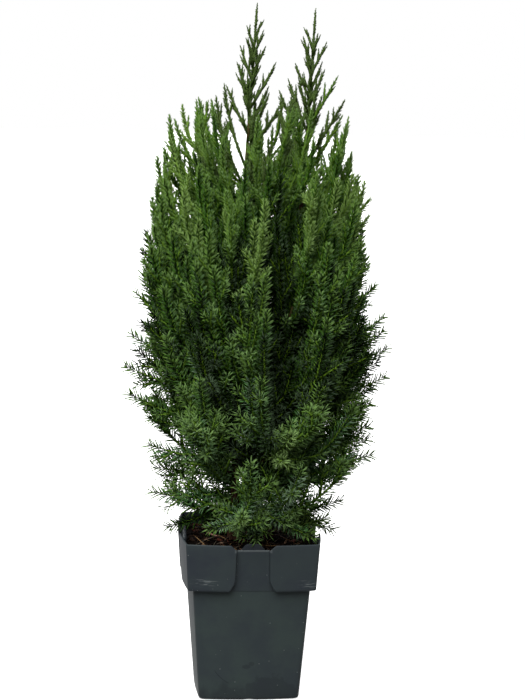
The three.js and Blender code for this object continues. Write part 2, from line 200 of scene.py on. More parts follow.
# Chips and straws on the soil: their kinds with screen colours and shares, their sizes and how they lie
Litter = namedtuple("Litter", "name colour roughness share")
LITTER_SPECULAR = 0.05
CHIPS = (
    Litter("chip_dark", (15, 10, 8), 0.9, 0.56),
    Litter("chip_brown", (32, 22, 16), 0.9, 0.28),
    Litter("chip_red", (72, 40, 30), 0.85, 0.12),
    Litter("chip_pale", (120, 94, 76), 0.85, 0.04),
)
CHIP_SEED = 71
CHIP_LEAST, CHIP_MOST = (0.004, 0.002, 0.0008), (0.013, 0.006, 0.0022)
CHIP_CORNERS = (0.6, 1.1)
CHIP_TIP = 0.45
CHIP_RISE = 0.0006
BOX_SIDES = ((0, 1, 3, 2), (4, 6, 7, 5), (0, 4, 5, 1), (2, 3, 7, 6), (0, 2, 6, 4), (1, 5, 7, 3))
STRAWS = (
    Litter("straw_brown", (48, 34, 24), 0.8, 0.5),
    Litter("straw_tan", (118, 94, 64), 0.8, 0.3),
    Litter("straw_grey", (86, 80, 68), 0.8, 0.2),
)
STRAW_SEED = 72
STRAW_LENGTH = (0.008, 0.030)
STRAW_SLOPE = (-0.1, 0.35)
STRAW_BOW = 0.003
STRAW_RADIUS = (0.0005, 0.0004)
STRAW_RISE = 0.0012
STRAW_MARGIN = 0.006
STRAW_SIDES = 3
STICK = Litter("stick_pink", (150, 108, 98), 0.8, 0)
STICK_ENDS = (Vector((-0.040, 0.004, 0.1545)), Vector((-0.029, -0.004, 0.1525)))
STICK_RADIUS = (0.0012, 0.0011)

# Trunk and leaders, as points of a cubic curve
TRUNK_FOOT = Vector((-0.014, 0, SOIL_HIGH.z + SOIL_GAP))
TRUNK_BENDS = (Vector((-0.014, 0, 0.265)), Vector((-0.017, 0.002, 0.380)))
TRUNK_TIP = Vector((-0.011, 0, 0.498))
TRUNK_RADIUS = (0.0046, 0.0015)
TRUNK_FLARE = 0.0028
TRUNK_FLARE_HEIGHT = 0.016
SECOND_FORK = 0.18
SECOND_BRANCHES_ABOVE = 0.300
SECOND_BRANCHES_TOWARDS = 0.3
SECOND_BENDS = (Vector((0.008, -0.004, 0.255)), Vector((0.036, 0.002, 0.370)))
SECOND_TIP = Vector((0.045, 0, 0.490))
SECOND_RADIUS = (0.003, 0.0014)
SPIRE_TIPS = {"main_spire": Vector((-0.002, 0, 0.674)), "second_spire": Vector((0.054, 0, 0.670))}
BOUGH_RADIUS = (0.0024, 0.0015)
STEM_RADIUS = (0.0016, 0.0010)
HALVINGS = 24

# Bark: columns and rows of each limb, and the waves of its relief, as how often round the limb, an offset,
# how often along it, and a depth
TRUNK_GRID, SECOND_GRID, BOUGH_GRID = (36, 150), (24, 110), (14, 34)
SECOND_RIDGE, BOUGH_RIDGE = 0.7, 0.5
BARK_RUN = 28
BARK_WAVES = ((3.1, 0, 1, 1), (7, 0, 2.3, 0.6), (1.3, 9, 1.7, 0.7))
BARK_CREASE = 60
PALE_STRENGTH = 0.6

# Plumes: a bough leaves the trunk at a height, and the foliage that goes on from its tip ends at a reach
# from the crown's middle line and at a height. Angles are in degrees, 0 along +X and 270 to the front.
CROWN_MIDDLE = Vector((0.008, 0, 0))
Tier = namedtuple(
    "Tier", "count first_azimuth foot foot_step reach height height_spread reach_spread rise split")
TIERS = {
    "high": Tier(
        count=5, first_azimuth=139, foot=0.330, foot_step=0.016, reach=0.076, height=0.576,
        height_spread=0.014, reach_spread=0.005, rise=0.55, split=0.2),
    "upper": Tier(
        count=6, first_azimuth=0, foot=0.268, foot_step=0.011, reach=0.095, height=0.508,
        height_spread=0.020, reach_spread=0.004, rise=0.5, split=0.2),
    "middle": Tier(
        count=6, first_azimuth=15, foot=0.222, foot_step=0.007, reach=0.107, height=0.428,
        height_spread=0.022, reach_spread=0.004, rise=0.42, split=0.2),
    "low": Tier(
        count=6, first_azimuth=0, foot=0.188, foot_step=0.007, reach=0.124, height=0.338,
        height_spread=0.020, reach_spread=0.004, rise=0.3, split=0.18),
    "skirt": Tier(
        count=4, first_azimuth=350, foot=0.165, foot_step=0.005, reach=0.088, height=0.214,
        height_spread=0.024, reach_spread=0.006, rise=0.2, split=0.2),
}
TIER_ITEMS = [(name, name.capitalize(), f"The {name} tier") for name in TIERS]

# Shoots of each tier's plumes and of the spires, the share at which a plume's stem ends, and a needle seed
Growth = namedtuple("Growth", "shoots longest shortest tilt lift sweep end seed")
GROWTH = {
    "high": Growth(9, 0.070, 0.022, tilt=31, lift=0.6, sweep=1.2, end=1, seed=4185),
    "upper": Growth(9, 0.078, 0.022, tilt=34, lift=0.7, sweep=1.3, end=1, seed=4204),
    "middle": Growth(9, 0.080, 0.022, tilt=38, lift=0.7, sweep=1.2, end=1, seed=4216),
    "low": Growth(7, 0.066, 0.020, tilt=40, lift=0.6, sweep=0.7, end=0.74, seed=4231),
    "skirt": Growth(9, 0.052, 0.020, tilt=42, lift=0.3, sweep=0.4, end=1, seed=4197),
    "spires": Growth(21, 0.068, 0.016, tilt=32, lift=0.05, sweep=0.28, end=1, seed=4121),
}
AZIMUTH_SPREAD = 9
FOOT_ORDER = 7
FIRST_BEND_OUT = 0.42
FIRST_BEND_RISE = 0.5
LAST_BEND_OUT = 0.86
LAST_BEND_STRAIGHTENING = 0.2
FIRST_SHOOT = 0.08
LAST_SHOOT = 0.94
LAST_SPIRE_SHOOT = 0.82
LENGTH_SPREAD = 0.16
TILT_AT_FOOT = 1.15
TILT_AT_TIP = 0.8
GOLDEN_ANGLE = math.radians(137.5)
TIER_SEED = 1000
PLUME_SEED = 37
SPIRE_SEEDS = {"main_spire": 9000, "second_spire": 9001}

# A twig bends from its foot to its tip. Bare is the share of it without needles, and the tints are those of
# its old and young needles.
Twig = namedtuple("Twig", "foot bend tip radii bare tints rank")
STEM, SHOOT, SIDE = range(3)

# Finer twigs: pairs are for open shoots low on the plant and for slim ones at the top, apart from radii, at
# foot and tip, and the bounds of what is uneven
UNEVEN = (0.85, 1.15)
UNEVEN_LENGTH = (0.75, 1.15)
STEM_PIECES = 8
STEM_END = 0.99
STEM_OVERLAP = 1.4
LEAFY_STEM = 0.25
LEAFY_SPIRE = 0.35
SHOOT_RADIUS = (0.0014, 0.0011)
TWIG_SPACING = (0.0175, 0.0095)
TWIG_TILT = (42, 30)
TWIG_LONGEST = (0.034, 0.016)
TWIG_SHARE = (0.60, 0.34)
TWIG_LEAST = 0.005
TWIG_LIFT = (0.08, 0.4)
TWIG_SWEEP = 0.3
FIRST_TWIG = 0.10
LAST_TWIG = (0.76, 0.82)
TWIG_RADIUS = (0.0012, 0.0010)
FORKED_LENGTH = 0.028
FORK_SPACING = 0.016
FORK_SHARE = 0.5
FORK_LEAST = 0.003
FORK_RADIUS = (0.0010, 0.0009)
FIRST_FORK = 0.25
FORK_RUN = 0.6
FORK_LIFT = 0.1
FORK_SWEEP = 0.12
BARE_SHOOT = 0.10
BARE_TWIG = 0.04
TWIG_SIDES = 4
TUBE_RINGS = 3
SLIVER = 1e-9
OVER_REACH = 1.03

# Room that tips keep from the pot and the soil, and how far they may hang below the rim outside the pot
POT_ROOM = 0.003
WALL_ROOM = 0.006
RIM_ROOM = 0.002
SOIL_ROOM = 0.004
HANGING = 0.03

# The crown's outline and how full it is: starts are heights, each with the run over which it takes effect
SHELL_MIDDLES = (0.006, 0.000)
SHELL_LOW, SHELL_WIDEST, SHELL_HIGH = 0.172, 0.335, 0.582
SHELL_RADIUS = 0.107
SHELL_ABOVE, SHELL_BELOW = 0.310, 0.218
CURVE_ABOVE, CURVE_BELOW = 3, 2
OPEN_LOW, OPEN_HIGH = 0.27, 0.56
FILLS_FROM, THINS_FROM = (0.28, 0.08), (0.48, 0.07)

# Shoots laid out between the plumes, each from the nearest of the stands along stems and leaders
SHELL_SEED = 5000
STANDS = 16
STAND_END = 0.9
LEADER_STAND = 0.1
BEND_BACK = 20
SHOOT_WOBBLE = 0.06
UPRIGHT_ABOVE = 0.46

# Two shells of shoots, on the crown's outline and inside it, with tips spread evenly all round. Leans are
# from upright, at the top and at the foot, and lengths are at the foot and above it. To the front and back
# the outline swells and falls back in lobes.
Shell = namedtuple("Shell", "shoots share lean length")
SHELLS = (
    Shell(220, 1.0, lean=(7, 62), length=(0.075, 0.120)),
    Shell(150, 0.55, lean=(3, 36), length=(0.060, 0.100)),
)
SHELL_LEVELS = 200
SHELL_SPREAD = 0.04
SHELL_HEIGHT_SPREAD = 0.008
SHELL_TURN_SPREAD = 0.08
SHELL_LEAN_CURVE = 1.1
LENGTHENS_FROM = (0.2, 0.15)
FRONT_LEAN = 0.45
LOBES = 10
LOBE_AZIMUTH = math.radians(265)
LOBE_TWIST = 11
LOBE_PULL = 0.9
LOBE_DEPTH = 0.38

# Tips of single shoots that stand clear on the left and right outline, as x and z
OUTLINE_TIPS = (
    (0.126, 0.375), (0.128, 0.359), (0.133, 0.342), (0.132, 0.313), (0.117, 0.288), (0.116, 0.265),
    (0.117, 0.251), (0.120, 0.236), (0.101, 0.224), (0.089, 0.212), (0.091, 0.186), (0.085, 0.158),
    (-0.118, 0.352), (-0.123, 0.324), (-0.119, 0.296), (-0.100, 0.274), (-0.099, 0.246), (-0.093, 0.231),
    (-0.093, 0.220), (-0.096, 0.199), (-0.079, 0.160), (-0.112, 0.338), (-0.109, 0.311), (-0.104, 0.287),
    (0.122, 0.330), (0.121, 0.301), (0.110, 0.277), (0.108, 0.258),
    (-0.107, 0.426), (-0.102, 0.448), (-0.098, 0.464), (-0.095, 0.494), (-0.089, 0.532), (-0.084, 0.545),
    (-0.079, 0.560), (-0.073, 0.575), (-0.056, 0.581), (-0.044, 0.580), (-0.032, 0.595),
    (0.086, 0.560), (0.093, 0.522), (0.102, 0.510), (0.105, 0.504), (0.100, 0.478), (0.101, 0.462),
    (0.102, 0.451), (0.110, 0.428), (0.119, 0.404),
)
OUTLINE_SHARE = 0.99
OUTLINE_DEPTH = 0.016
OUTLINE_LENGTH = 0.095
OUTLINE_LEAN = (10, 68)
OUTLINE_LEAN_RUN = 0.2
OUTLINE_LEAN_CURVE = 0.6
DROOPING_LEAN = 102
DROOPING_BELOW = 0.17

# Tips of low shoots in front that lie over the soil, as x, y and z, with the heading and the lean of each
FRONT_TIPS = (
    (0.058, -0.056, 0.166, -35, 98), (-0.042, -0.052, 0.173, 205, 92), (0.003, -0.061, 0.165, 275, 106),
    (0.030, -0.058, 0.180, -60, 84),
)
FRONT_LENGTH = 0.06

# Gaps between shoots as seen from the front: right through the crown, in front of the trunk's foot, and a
# dark recess in the front. The slant and the fall carry a point along the view to the plane of the trunk.
Gap = namedtuple("Gap", "left right low high")
SKY_GAPS = (
    Gap(-0.0235, -0.0105, 0.512, 0.562),
    Gap(0.062, 0.096, 0.188, 0.210), Gap(0.072, 0.098, 0.253, 0.263),
    Gap(-0.087, -0.066, 0.243, 0.262), Gap(-0.105, -0.085, 0.300, 0.318),
    Gap(-0.080, -0.060, 0.213, 0.224), Gap(0.052, 0.072, 0.214, 0.226),
    Gap(-0.018, -0.004, 0.190, 0.199), Gap(-0.052, -0.038, 0.199, 0.210),
)
TRUNK_GAP = Gap(-0.028, -0.008, 0.184, 0.214)
RECESS = Gap(0.014, 0.046, 0.270, 0.385)
RECESS_FRONT = -0.05
GAP_SLANT = 0.085
GAP_FALL = 0.157

# A tint's young needles, how much bloom its needles have, and how far its twigs take its colour
Tint = namedtuple("Tint", "younger bloom twig")
TINTS = {
    "old_and_shaded": Tint("old_and_shaded", 0.4, 0.45),
    "leaf": Tint("lush", 0.55, 0.45),
    "lush": Tint("lush", 0.45, 0.5),
    "fresh_and_lit": Tint("fresh_and_lit", 0.4, 0.6),
    "blue": Tint("lush", 2.0, 0.45),
    "slim": Tint("slim", 0.5, 1),
}

# Weights by which shoots take their tints, up to a height: inside the crown, and nearer its outline. The dark
# tint that shoots inside the crown and part of the outline take is partly painted shade.
INSIDE = 0.74
# Near the outline the tints grow lighter with height, partly as painted light from above.
TINTS_UP_TO = (
    (0.24, {"leaf": 2, "blue": 1}, {"blue": 7, "leaf": 2, "fresh_and_lit": 1}),
    (0.28, {"old_and_shaded": 1, "leaf": 2}, {"blue": 5, "leaf": 5, "fresh_and_lit": 1}),
    (0.36, {"old_and_shaded": 1}, {"leaf": 7, "blue": 3, "lush": 1, "old_and_shaded": 1}),
    (0.42, {"old_and_shaded": 1}, {"leaf": 4, "old_and_shaded": 7}),
    (0.48, {"old_and_shaded": 3, "leaf": 1}, {"leaf": 6, "lush": 2, "fresh_and_lit": 2, "old_and_shaded": 1}),
    (0.53, {"old_and_shaded": 1, "leaf": 2}, {"leaf": 2, "lush": 4, "fresh_and_lit": 4}),
    (0.58, {"leaf": 1, "slim": 1}, {"leaf": 2, "lush": 6, "fresh_and_lit": 3}),
    (1.00, {"slim": 1}, {"leaf": 1, "lush": 1, "slim": 6}),
)

# Where the young shoots are slim and cord-like, and where they stand wide open
SLIM_ABOVE = 0.60
WIDE_BELOW = 0.30

# Needles in whorls round a twig. They close up towards its tip, where pairs are for open and slim shoots.
WHORL = 3
WHORL_LEAST = 2
WHORL_START = 0.7
WHORL_TURN = 0.75
TWIG_TURN = 2.4
TURN_SPREAD = 0.14
ANGLE_SPREAD = 0.06
SHOOT_SPACING, SIDE_SPACING = 0.75, 1.1
SHOOT_WIDTH, SLIM_WIDTH = 1.14, 1.16
CLOSING_LENGTH = 0.011
CLOSING_CURVE = 1.5
CLOSED_ANGLE = (0.25, 0.6)
CLOSED_LENGTH = (0.12, 0.4)
CLOSED_WIDTH = 0.5
UNEVEN_NEEDLE = (0.86, 1.12)
NEEDLE_LEAST = 0.0022
NEEDLE_PER_TWIG = 0.8
YOUNG_LENGTH = 0.012
UNEVEN_YOUNG = (0.7, 1.3)

# A needle's left and right points as shares of its length, how far its tip curls in, its triangles between
# foot, left, right and tip, and which of those are on its inner side
NEEDLE_LEFT, NEEDLE_RIGHT = 0.22, 0.78
NEEDLE_CURL = 0.03
NEEDLE_FACES = ((0, 1, 2), (1, 3, 2), (0, 3, 1), (0, 2, 3))
NEEDLE_INNER = (1, 1, 0, 0)

# Stage: suns have a tilt from straight down and a turn from the front, in degrees
SKY_EDGE = (-0.2, 0.9)
SKY_LEAST, SKY_GAIN = 0.20, 0.80
SHEEN = 0.9
SUN_SPREAD = 50
KEY_SUN, FILL_SUN = (38, -24), (50, 160)
FLOOR_SIDES = 128
FLOOR_DROP = 0.0002
SENSOR_WIDTH = 36
PICTURE_HEIGHT = 0.3403
PICTURE_SHIFT = 0.0101

# Seeded numbers are words of 32 bits, and each draw steps on by an odd word
WORD = 0xFFFFFFFF
SEED_STEP = 0x6D2B79F5


def srgb(red, green, blue):
    """A screen colour of 0 to 255 as the linear colour that shaders take."""
    def linear(level):
        share = level / 255
        return share / 12.92 if share <= 0.04045 else ((share + 0.055) / 1.055) ** 2.4
    return (linear(red), linear(green), linear(blue))


def mix(first, second, share):
    """The first of two values at share 0, the second at share 1."""
    return first + (second - first) * share


def clamp(value):
    """A value held between 0 and 1."""
    return max(0.0, min(1.0, value))


def progress(value, start, run):
    """How far a value has come from a start over a run, from 0 to 1."""
    return clamp((value - start) / run)


# Settings

def size(name, description, default):
    return bpy.props.FloatProperty(
        name=name, description=description, default=default, min=0, unit="LENGTH", precision=4)


def colour(name, description, default):
    return bpy.props.FloatVectorProperty(
        name=name, description=description, default=default, size=3, min=0, max=1, subtype="COLOR")


def angle(name, description, degrees):
    return bpy.props.FloatProperty(
        name=name, description=description, default=math.radians(degrees), subtype="ANGLE")


def amount(name, description, default):
    return bpy.props.FloatProperty(name=name, description=description, default=default, min=0)


def number(name, description, default):
    return bpy.props.IntProperty(name=name, description=description, default=default, min=0)


class JuniperPotSettings(bpy.types.PropertyGroup):
    """The square nursery pot."""
    height: size("Rim height", "From the underside to the rim", 0.161)
    band_height: size("Band height", "Height of the proud corner pieces under the rim", 0.0476)
    green_slate: colour("Green slate", "Plastic where it leans to green", srgb(52, 61, 60))
    blue_slate: colour("Blue slate", "Plastic where it leans to blue", srgb(43, 48, 54))
    damp: colour("Damp", "Damp stains near the foot", srgb(32, 36, 40))
    # This pale colour also paints the highlight on the edges of the rim notches.
    scuff_and_highlight: colour("Scuffed", "Scuffs and specks", srgb(128, 134, 134))
    # A darker plastic for the tabs behind the rim notches.
    darkened: colour("Stained", "Tongues behind the rim notches", srgb(24, 29, 34))


class JuniperSoilSettings(bpy.types.PropertyGroup):
    """The potting soil and what lies on it."""
    dark: colour("Dark soil", "Hollows between the crumbs", srgb(9, 6, 4))
    light: colour("Light soil", "Tops of the crumbs", srgb(21, 15, 11))
    chips: number("Bark chips", "Chips on the soil", 330)
    straws: number("Straws", "Dead needles and straws", 170)


class JuniperBarkSettings(bpy.types.PropertyGroup):
    """The bark of trunk and boughs."""
    ridge: size("Ridge height", "How far the strips of bark stand out on the trunk", 0.0007)
    dark: colour("Dark bark", "Furrows between the strips", srgb(34, 22, 16))
    red: colour("Red bark", "Most of the strips", srgb(74, 52, 40))
    pale: colour("Pale bark", "Weathered strips", srgb(116, 92, 72))


class JuniperFoliageSettings(bpy.types.PropertyGroup):
    """Needles and twigs."""
    wide_length: size("Open needle", "Needle length low on the plant", 0.0122)
    slim_length: size("Slim needle", "Needle length on the top shoots", 0.0053)
    width: size("Needle width", "Widest part of a needle", 0.00113)
    wide_spacing: size("Open spacing", "Between whorls low on the plant", 0.0031)
    slim_spacing: size("Slim spacing", "Between whorls on the top shoots", 0.0016)
    wide_angle: angle("Open angle", "Needle to twig low on the plant", 50)
    slim_angle: angle("Slim angle", "Needle to twig on the top shoots", 21)
    # The darker green of old shoots inside the crown is partly painted shade.
    old_and_shaded: colour("Deep green", "Older shoots inside", srgb(25, 44, 12))
    leaf: colour("Leaf green", "Most of the shoots", srgb(52, 84, 26))
    lush: colour("Lush green", "Young growth", srgb(85, 115, 50))
    # Fresh green is young growth, and partly painted light on outer shoots higher up.
    fresh_and_lit: colour("Fresh green", "Young growth in the light", srgb(106, 134, 66))
    blue: colour("Blue green", "Open shoots low on the plant", srgb(68, 108, 55))
    slim: colour("Slim green", "Cord-like shoots at the top", srgb(72, 91, 45))
    bloom: colour("Bloom", "Waxy bands on a needle's inner face", srgb(150, 170, 146))
    bloom_share: bpy.props.FloatProperty(
        name="Bloom share", description="How much of the inner face's colour is bloom", default=0.30,
        min=0, max=1, subtype="FACTOR")
    brown_twig: colour("Bare twig", "Stems near their bough", srgb(80, 72, 42))
    green_twig: colour("Green twig", "Young twigs", srgb(112, 146, 42))


class JuniperStageSettings(bpy.types.PropertyGroup):
    """Floor, light and camera."""
    floor_radius: size("Floor radius", "Round floor under the pot", 14.0)
    floor_colour: colour("Floor", "Pale floor", (0.93, 0.93, 0.93))
    floor_glow: amount("Floor glow", "Lightens the shadow on the floor", 0.6)
    sky_strength: amount("Sky", "Light all round", 0.40)
    key_strength: amount("Key", "Soft light from above", 4.4)
    fill_strength: amount("Fill", "Soft light from behind", 1.3)
    distance: size("Camera distance", "From the middle of the picture", 1.8)
    azimuth: angle("Camera azimuth", "Turned from the front", -4.86)
    elevation: angle("Camera elevation", "Above the horizon", 8.96)
    roll: angle("Camera roll", "Lean of the picture", -1.25)
    focal_length: bpy.props.FloatProperty(
        name="Focal length", description="In millimetres", default=94.45, min=1)


# Modelling

def select_only(piece):
    bpy.ops.object.select_all(action="DESELECT")
    piece.select_set(True)
    bpy.context.view_layer.objects.active = piece


def edit_all(piece, *steps):
    """Runs edit mode operators, each with its own options, on the whole of a piece."""
    select_only(piece)
    bpy.ops.object.mode_set(mode="EDIT")
    bpy.ops.mesh.select_all(action="SELECT")
    for operator, options in steps:
        operator(**options)
    bpy.ops.object.mode_set(mode="OBJECT")


def sweep(name, columns, rows, place):
    """A round of columns by rows of points: a grid primitive, moved point by point and sewn at its seam."""
    bpy.ops.object.select_all(action="DESELECT")
    bpy.ops.mesh.primitive_grid_add(
        x_subdivisions=columns, y_subdivisions=rows - 1, size=2, location=(0, 0, 0))
    piece = bpy.context.object
    piece.name = name
    piece.data.name = name
    for vertex in piece.data.vertices:
        column = round((vertex.co.x + 1) / 2 * columns)
        row = round((vertex.co.y + 1) / 2 * (rows - 1))
        vertex.co = place(column % columns, row)
    edit_all(
        piece,
        (bpy.ops.mesh.remove_doubles, {"threshold": SEAM}),
        (bpy.ops.mesh.normals_make_consistent, {"inside": False}),
    )
    return piece


def smooth(piece, degrees):
    """Shades a piece smooth, apart from edges sharper than an angle."""
    select_only(piece)
    bpy.ops.object.shade_smooth_by_angle(angle=math.radians(degrees))


def join(name, pieces):
    """One piece out of several, with all their finishes."""
    select_only(pieces[0])
    for piece in pieces[1:]:
        piece.select_set(True)
    bpy.ops.object.join()
    pieces[0].name = name
    pieces[0].data.name = name
    return pieces[0]


def cut_away(piece, cutter):
    """Cuts one closed piece out of another."""
    select_only(piece)
    cut = piece.modifiers.new("cut", "BOOLEAN")
    cut.operation = "DIFFERENCE"
    cut.solver = "MANIFOLD"
    cut.object = cutter
    bpy.ops.object.modifier_apply(modifier=cut.name)
    bpy.data.objects.remove(cutter)


def array_piece(name, points, triangles, kinds, materials):
    """A piece of many small closed shapes: points, the triangles between them and each one's material."""
    mesh = bpy.data.meshes.new(name)
    mesh.vertices.add(len(points))
    mesh.vertices.foreach_set("co", points.astype(np.float32).ravel())
    mesh.loops.add(triangles.size)
    mesh.loops.foreach_set("vertex_index", triangles.astype(np.int32).ravel())
    mesh.polygons.add(len(triangles))
    mesh.polygons.foreach_set("loop_start", np.arange(0, triangles.size, 3, dtype=np.int32))
    mesh.polygons.foreach_set("material_index", kinds.astype(np.int32))
    for material in materials:
        mesh.materials.append(material)
    mesh.update(calc_edges=True)
    piece = bpy.data.objects.new(name, mesh)
    bpy.context.scene.collection.objects.link(piece)
    return piece


def hand_over(piece, slot, *nodes):
    """The piece rides on the plant's one body and stands for CAD nodes, which it hides. The slot is not used.
    """
    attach(piece, "root")
    if nodes:
        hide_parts(*nodes)


# Finishes

def new_finish(name, roughness, specular):
    """A new finish with its node tree and its shader."""
    material = bpy.data.materials.new(name)
    material.use_nodes = True
    shader = material.node_tree.nodes["Principled BSDF"]
    shader.inputs["Roughness"].default_value = roughness
    shader.inputs["Specular IOR Level"].default_value = specular
    return material, material.node_tree, shader


def plain_finish(name, paint, roughness, specular):
    """A finish of one colour."""
    material, _, shader = new_finish(name, roughness, specular)
    shader.inputs["Base Color"].default_value = (*paint, 1)
    return material


def shared_finish(name, paint, roughness, specular):
    """A plain finish that is made once and then used again."""
    return bpy.data.materials.get(name) or plain_finish(name, paint, roughness, specular)


def feed(tree, socket, value):
    """Links an output to a socket, or sets the socket's own value."""
    if isinstance(value, bpy.types.NodeSocket):
        tree.links.new(value, socket)
    else:
        socket.default_value = value


def object_place(tree):
    return tree.nodes.new("ShaderNodeTexCoord").outputs["Object"]


def texture(tree, kind, place, **inputs):
    """A texture's outputs on a place, with its other inputs by name."""
    node = tree.nodes.new(kind)
    feed(tree, node.inputs["Vector"], place)
    for name, value in inputs.items():
        feed(tree, node.inputs[name], value)
    return node.outputs


def speckle(tree, place, scale, detail=4, roughness=0.55):
    """Noise on a place, around 0.5."""
    return texture(tree, "ShaderNodeTexNoise", place, Scale=scale, Detail=detail, Roughness=roughness)["Fac"]


def maths(tree, operation, *values):
    """The result of an operation on outputs and numbers."""
    node = tree.nodes.new("ShaderNodeMath")
    node.operation = operation
    for socket, value in zip(node.inputs, values):
        feed(tree, socket, value)
    return node.outputs[0]


def greatest(tree, *values):
    return reduce(lambda first, second: maths(tree, "MAXIMUM", first, second), values)


def product(tree, *values):
    return reduce(lambda first, second: maths(tree, "MULTIPLY", first, second), values)


def between(tree, value, low, high):
    """How far a value is from low to high, eased, from 0 to 1."""
    node = tree.nodes.new("ShaderNodeMapRange")
    node.interpolation_type = "SMOOTHSTEP"
    feed(tree, node.inputs["Value"], value)
    feed(tree, node.inputs["From Min"], low)
    feed(tree, node.inputs["From Max"], high)
    return node.outputs["Result"]


def blend(tree, share, first, second):
    """A colour from first to second; each is a colour or the output of another blend."""
    node = tree.nodes.new("ShaderNodeMix")
    node.data_type = "RGBA"
    feed(tree, node.inputs["Factor"], share)
    for socket, value in ((node.inputs[6], first), (node.inputs[7], second)):
        feed(tree, socket, value if isinstance(value, bpy.types.NodeSocket) else (*value, 1))
    return node.outputs[2]


def placed(tree, place, middle=(0, 0, 0), turn=0, scale=(1, 1, 1)):
    """The place moved to a middle, turned in the front's plane and scaled."""
    move = tree.nodes.new("ShaderNodeVectorMath")
    move.operation = "SUBTRACT"
    feed(tree, move.inputs[0], place)
    move.inputs[1].default_value = middle
    turned = tree.nodes.new("ShaderNodeMapping")
    feed(tree, turned.inputs["Vector"], move.outputs[0])
    turned.inputs["Rotation"].default_value = (0, turn, 0)
    turned.inputs["Scale"].default_value = scale
    return turned.outputs["Vector"]


def spot(tree, place, middle, reach):
    """1 in the middle of a round patch and 0 outside its reach."""
    near = placed(tree, place, middle, 0, tuple(1 / side for side in reach))
    length = tree.nodes.new("ShaderNodeVectorMath")
    length.operation = "LENGTH"
    feed(tree, length.inputs[0], near)
    return between(tree, length.outputs["Value"], *SPOT_EDGE)


def axes(tree, place):
    """The X, Y and Z of a place."""
    node = tree.nodes.new("ShaderNodeSeparateXYZ")
    feed(tree, node.inputs[0], place)
    return node.outputs


def relief(tree, shader, height, strength, distance):
    """Bumps on a finish by a pattern of heights."""
    node = tree.nodes.new("ShaderNodeBump")
    feed(tree, node.inputs["Height"], height)
    node.inputs["Strength"].default_value = strength
    node.inputs["Distance"].default_value = distance
    feed(tree, shader.inputs["Normal"], node.outputs["Normal"])


def pot_slate(tree, place, settings):
    """Slate in clouds of green and blue, bluer on the band."""
    band = between(tree, axes(tree, place)["Z"], *BAND_EDGE)
    clouds = between(tree, speckle(tree, place, scale=26), low=0.35, high=0.68)
    blueness = maths(tree, "MULTIPLY_ADD", band, BAND_BLUENESS, product(tree, clouds, CLOUD_BLUENESS))
    return blend(tree, blueness, settings.green_slate, settings.blue_slate)


def torn_patch(tree, place, patch):
    """The spots of a patch with their edges torn."""
    spots = greatest(tree, *(spot(tree, place, *each) for each in patch.spots))
    torn = maths(tree, "MULTIPLY_ADD", speckle(tree, place, patch.scale), patch.tear, -patch.tear / 2)
    return product(tree, between(tree, maths(tree, "ADD", spots, torn), *patch.edge), patch.strength)


def pot_damp(tree, place):
    """Damp stains along the foot, in a pool and in a smudge."""
    height = axes(tree, place)["Z"]
    ragged = maths(tree, "MULTIPLY_ADD", speckle(tree, place, scale=60), DAMP_RAGGEDNESS, height)
    foot = product(tree, between(tree, ragged, *DAMP_FOOT), DAMP_STRENGTH)
    return greatest(tree, foot, torn_patch(tree, place, POOL), torn_patch(tree, place, SMUDGE))


def pot_scratch(tree, place):
    """One thin bowed scratch low on the front."""
    line = axes(tree, placed(tree, place, SCRATCH_MIDDLE, SCRATCH_TURN))
    bowed = maths(tree, "MULTIPLY_ADD", product(tree, line["X"], line["X"]), SCRATCH_BOW, line["Z"])
    thin = between(tree, maths(tree, "ABSOLUTE", bowed), *SCRATCH_EDGE)
    ends = between(tree, maths(tree, "ABSOLUTE", line["X"]), *SCRATCH_END)
    front = maths(tree, "LESS_THAN", axes(tree, place)["Y"], FRONT_SIDE)
    return product(tree, thin, ends, front, SCRATCH_STRENGTH)


def pot_scuffs(tree, place):
    """Long pale strokes at two lower corners of the band."""
    stretched = placed(tree, place, turn=SCUFF_TURN, scale=SCUFF_STRETCH)
    strokes = between(tree, speckle(tree, stretched, scale=1, detail=3, roughness=0.7), low=0.52, high=0.66)
    right = product(tree, spot(tree, place, *RIGHT_SCUFF), RIGHT_SCUFF_SHARE)
    return product(tree, strokes, greatest(tree, spot(tree, place, *LEFT_SCUFF), right), SCUFF_STRENGTH)


def pot_specks(tree, place):
    """Rare pale specks all over."""
    cells = texture(tree, "ShaderNodeTexVoronoi", place, Scale=SPECK_SCALE)
    rare = maths(tree, "GREATER_THAN", axes(tree, cells["Color"])["X"], SPECK_RARITY)
    return product(tree, between(tree, cells["Distance"], *SPECK_EDGE), rare, SPECK_STRENGTH)


def pot_lip_highlight(tree, place):
    """A painted highlight on the edge of each rim notch, where the edge catches the light."""
    height = axes(tree, place)["Z"]
    aside = [maths(tree, "ABSOLUTE", axes(tree, place)[name]) for name in "XY"]
    level = product(tree, between(tree, height, *LIP_FOOT), between(tree, height, *LIP_TOP))
    return product(tree, level, between(tree, maths(tree, "MINIMUM", *aside), *LIP_END), LIP_HIGHLIGHT)


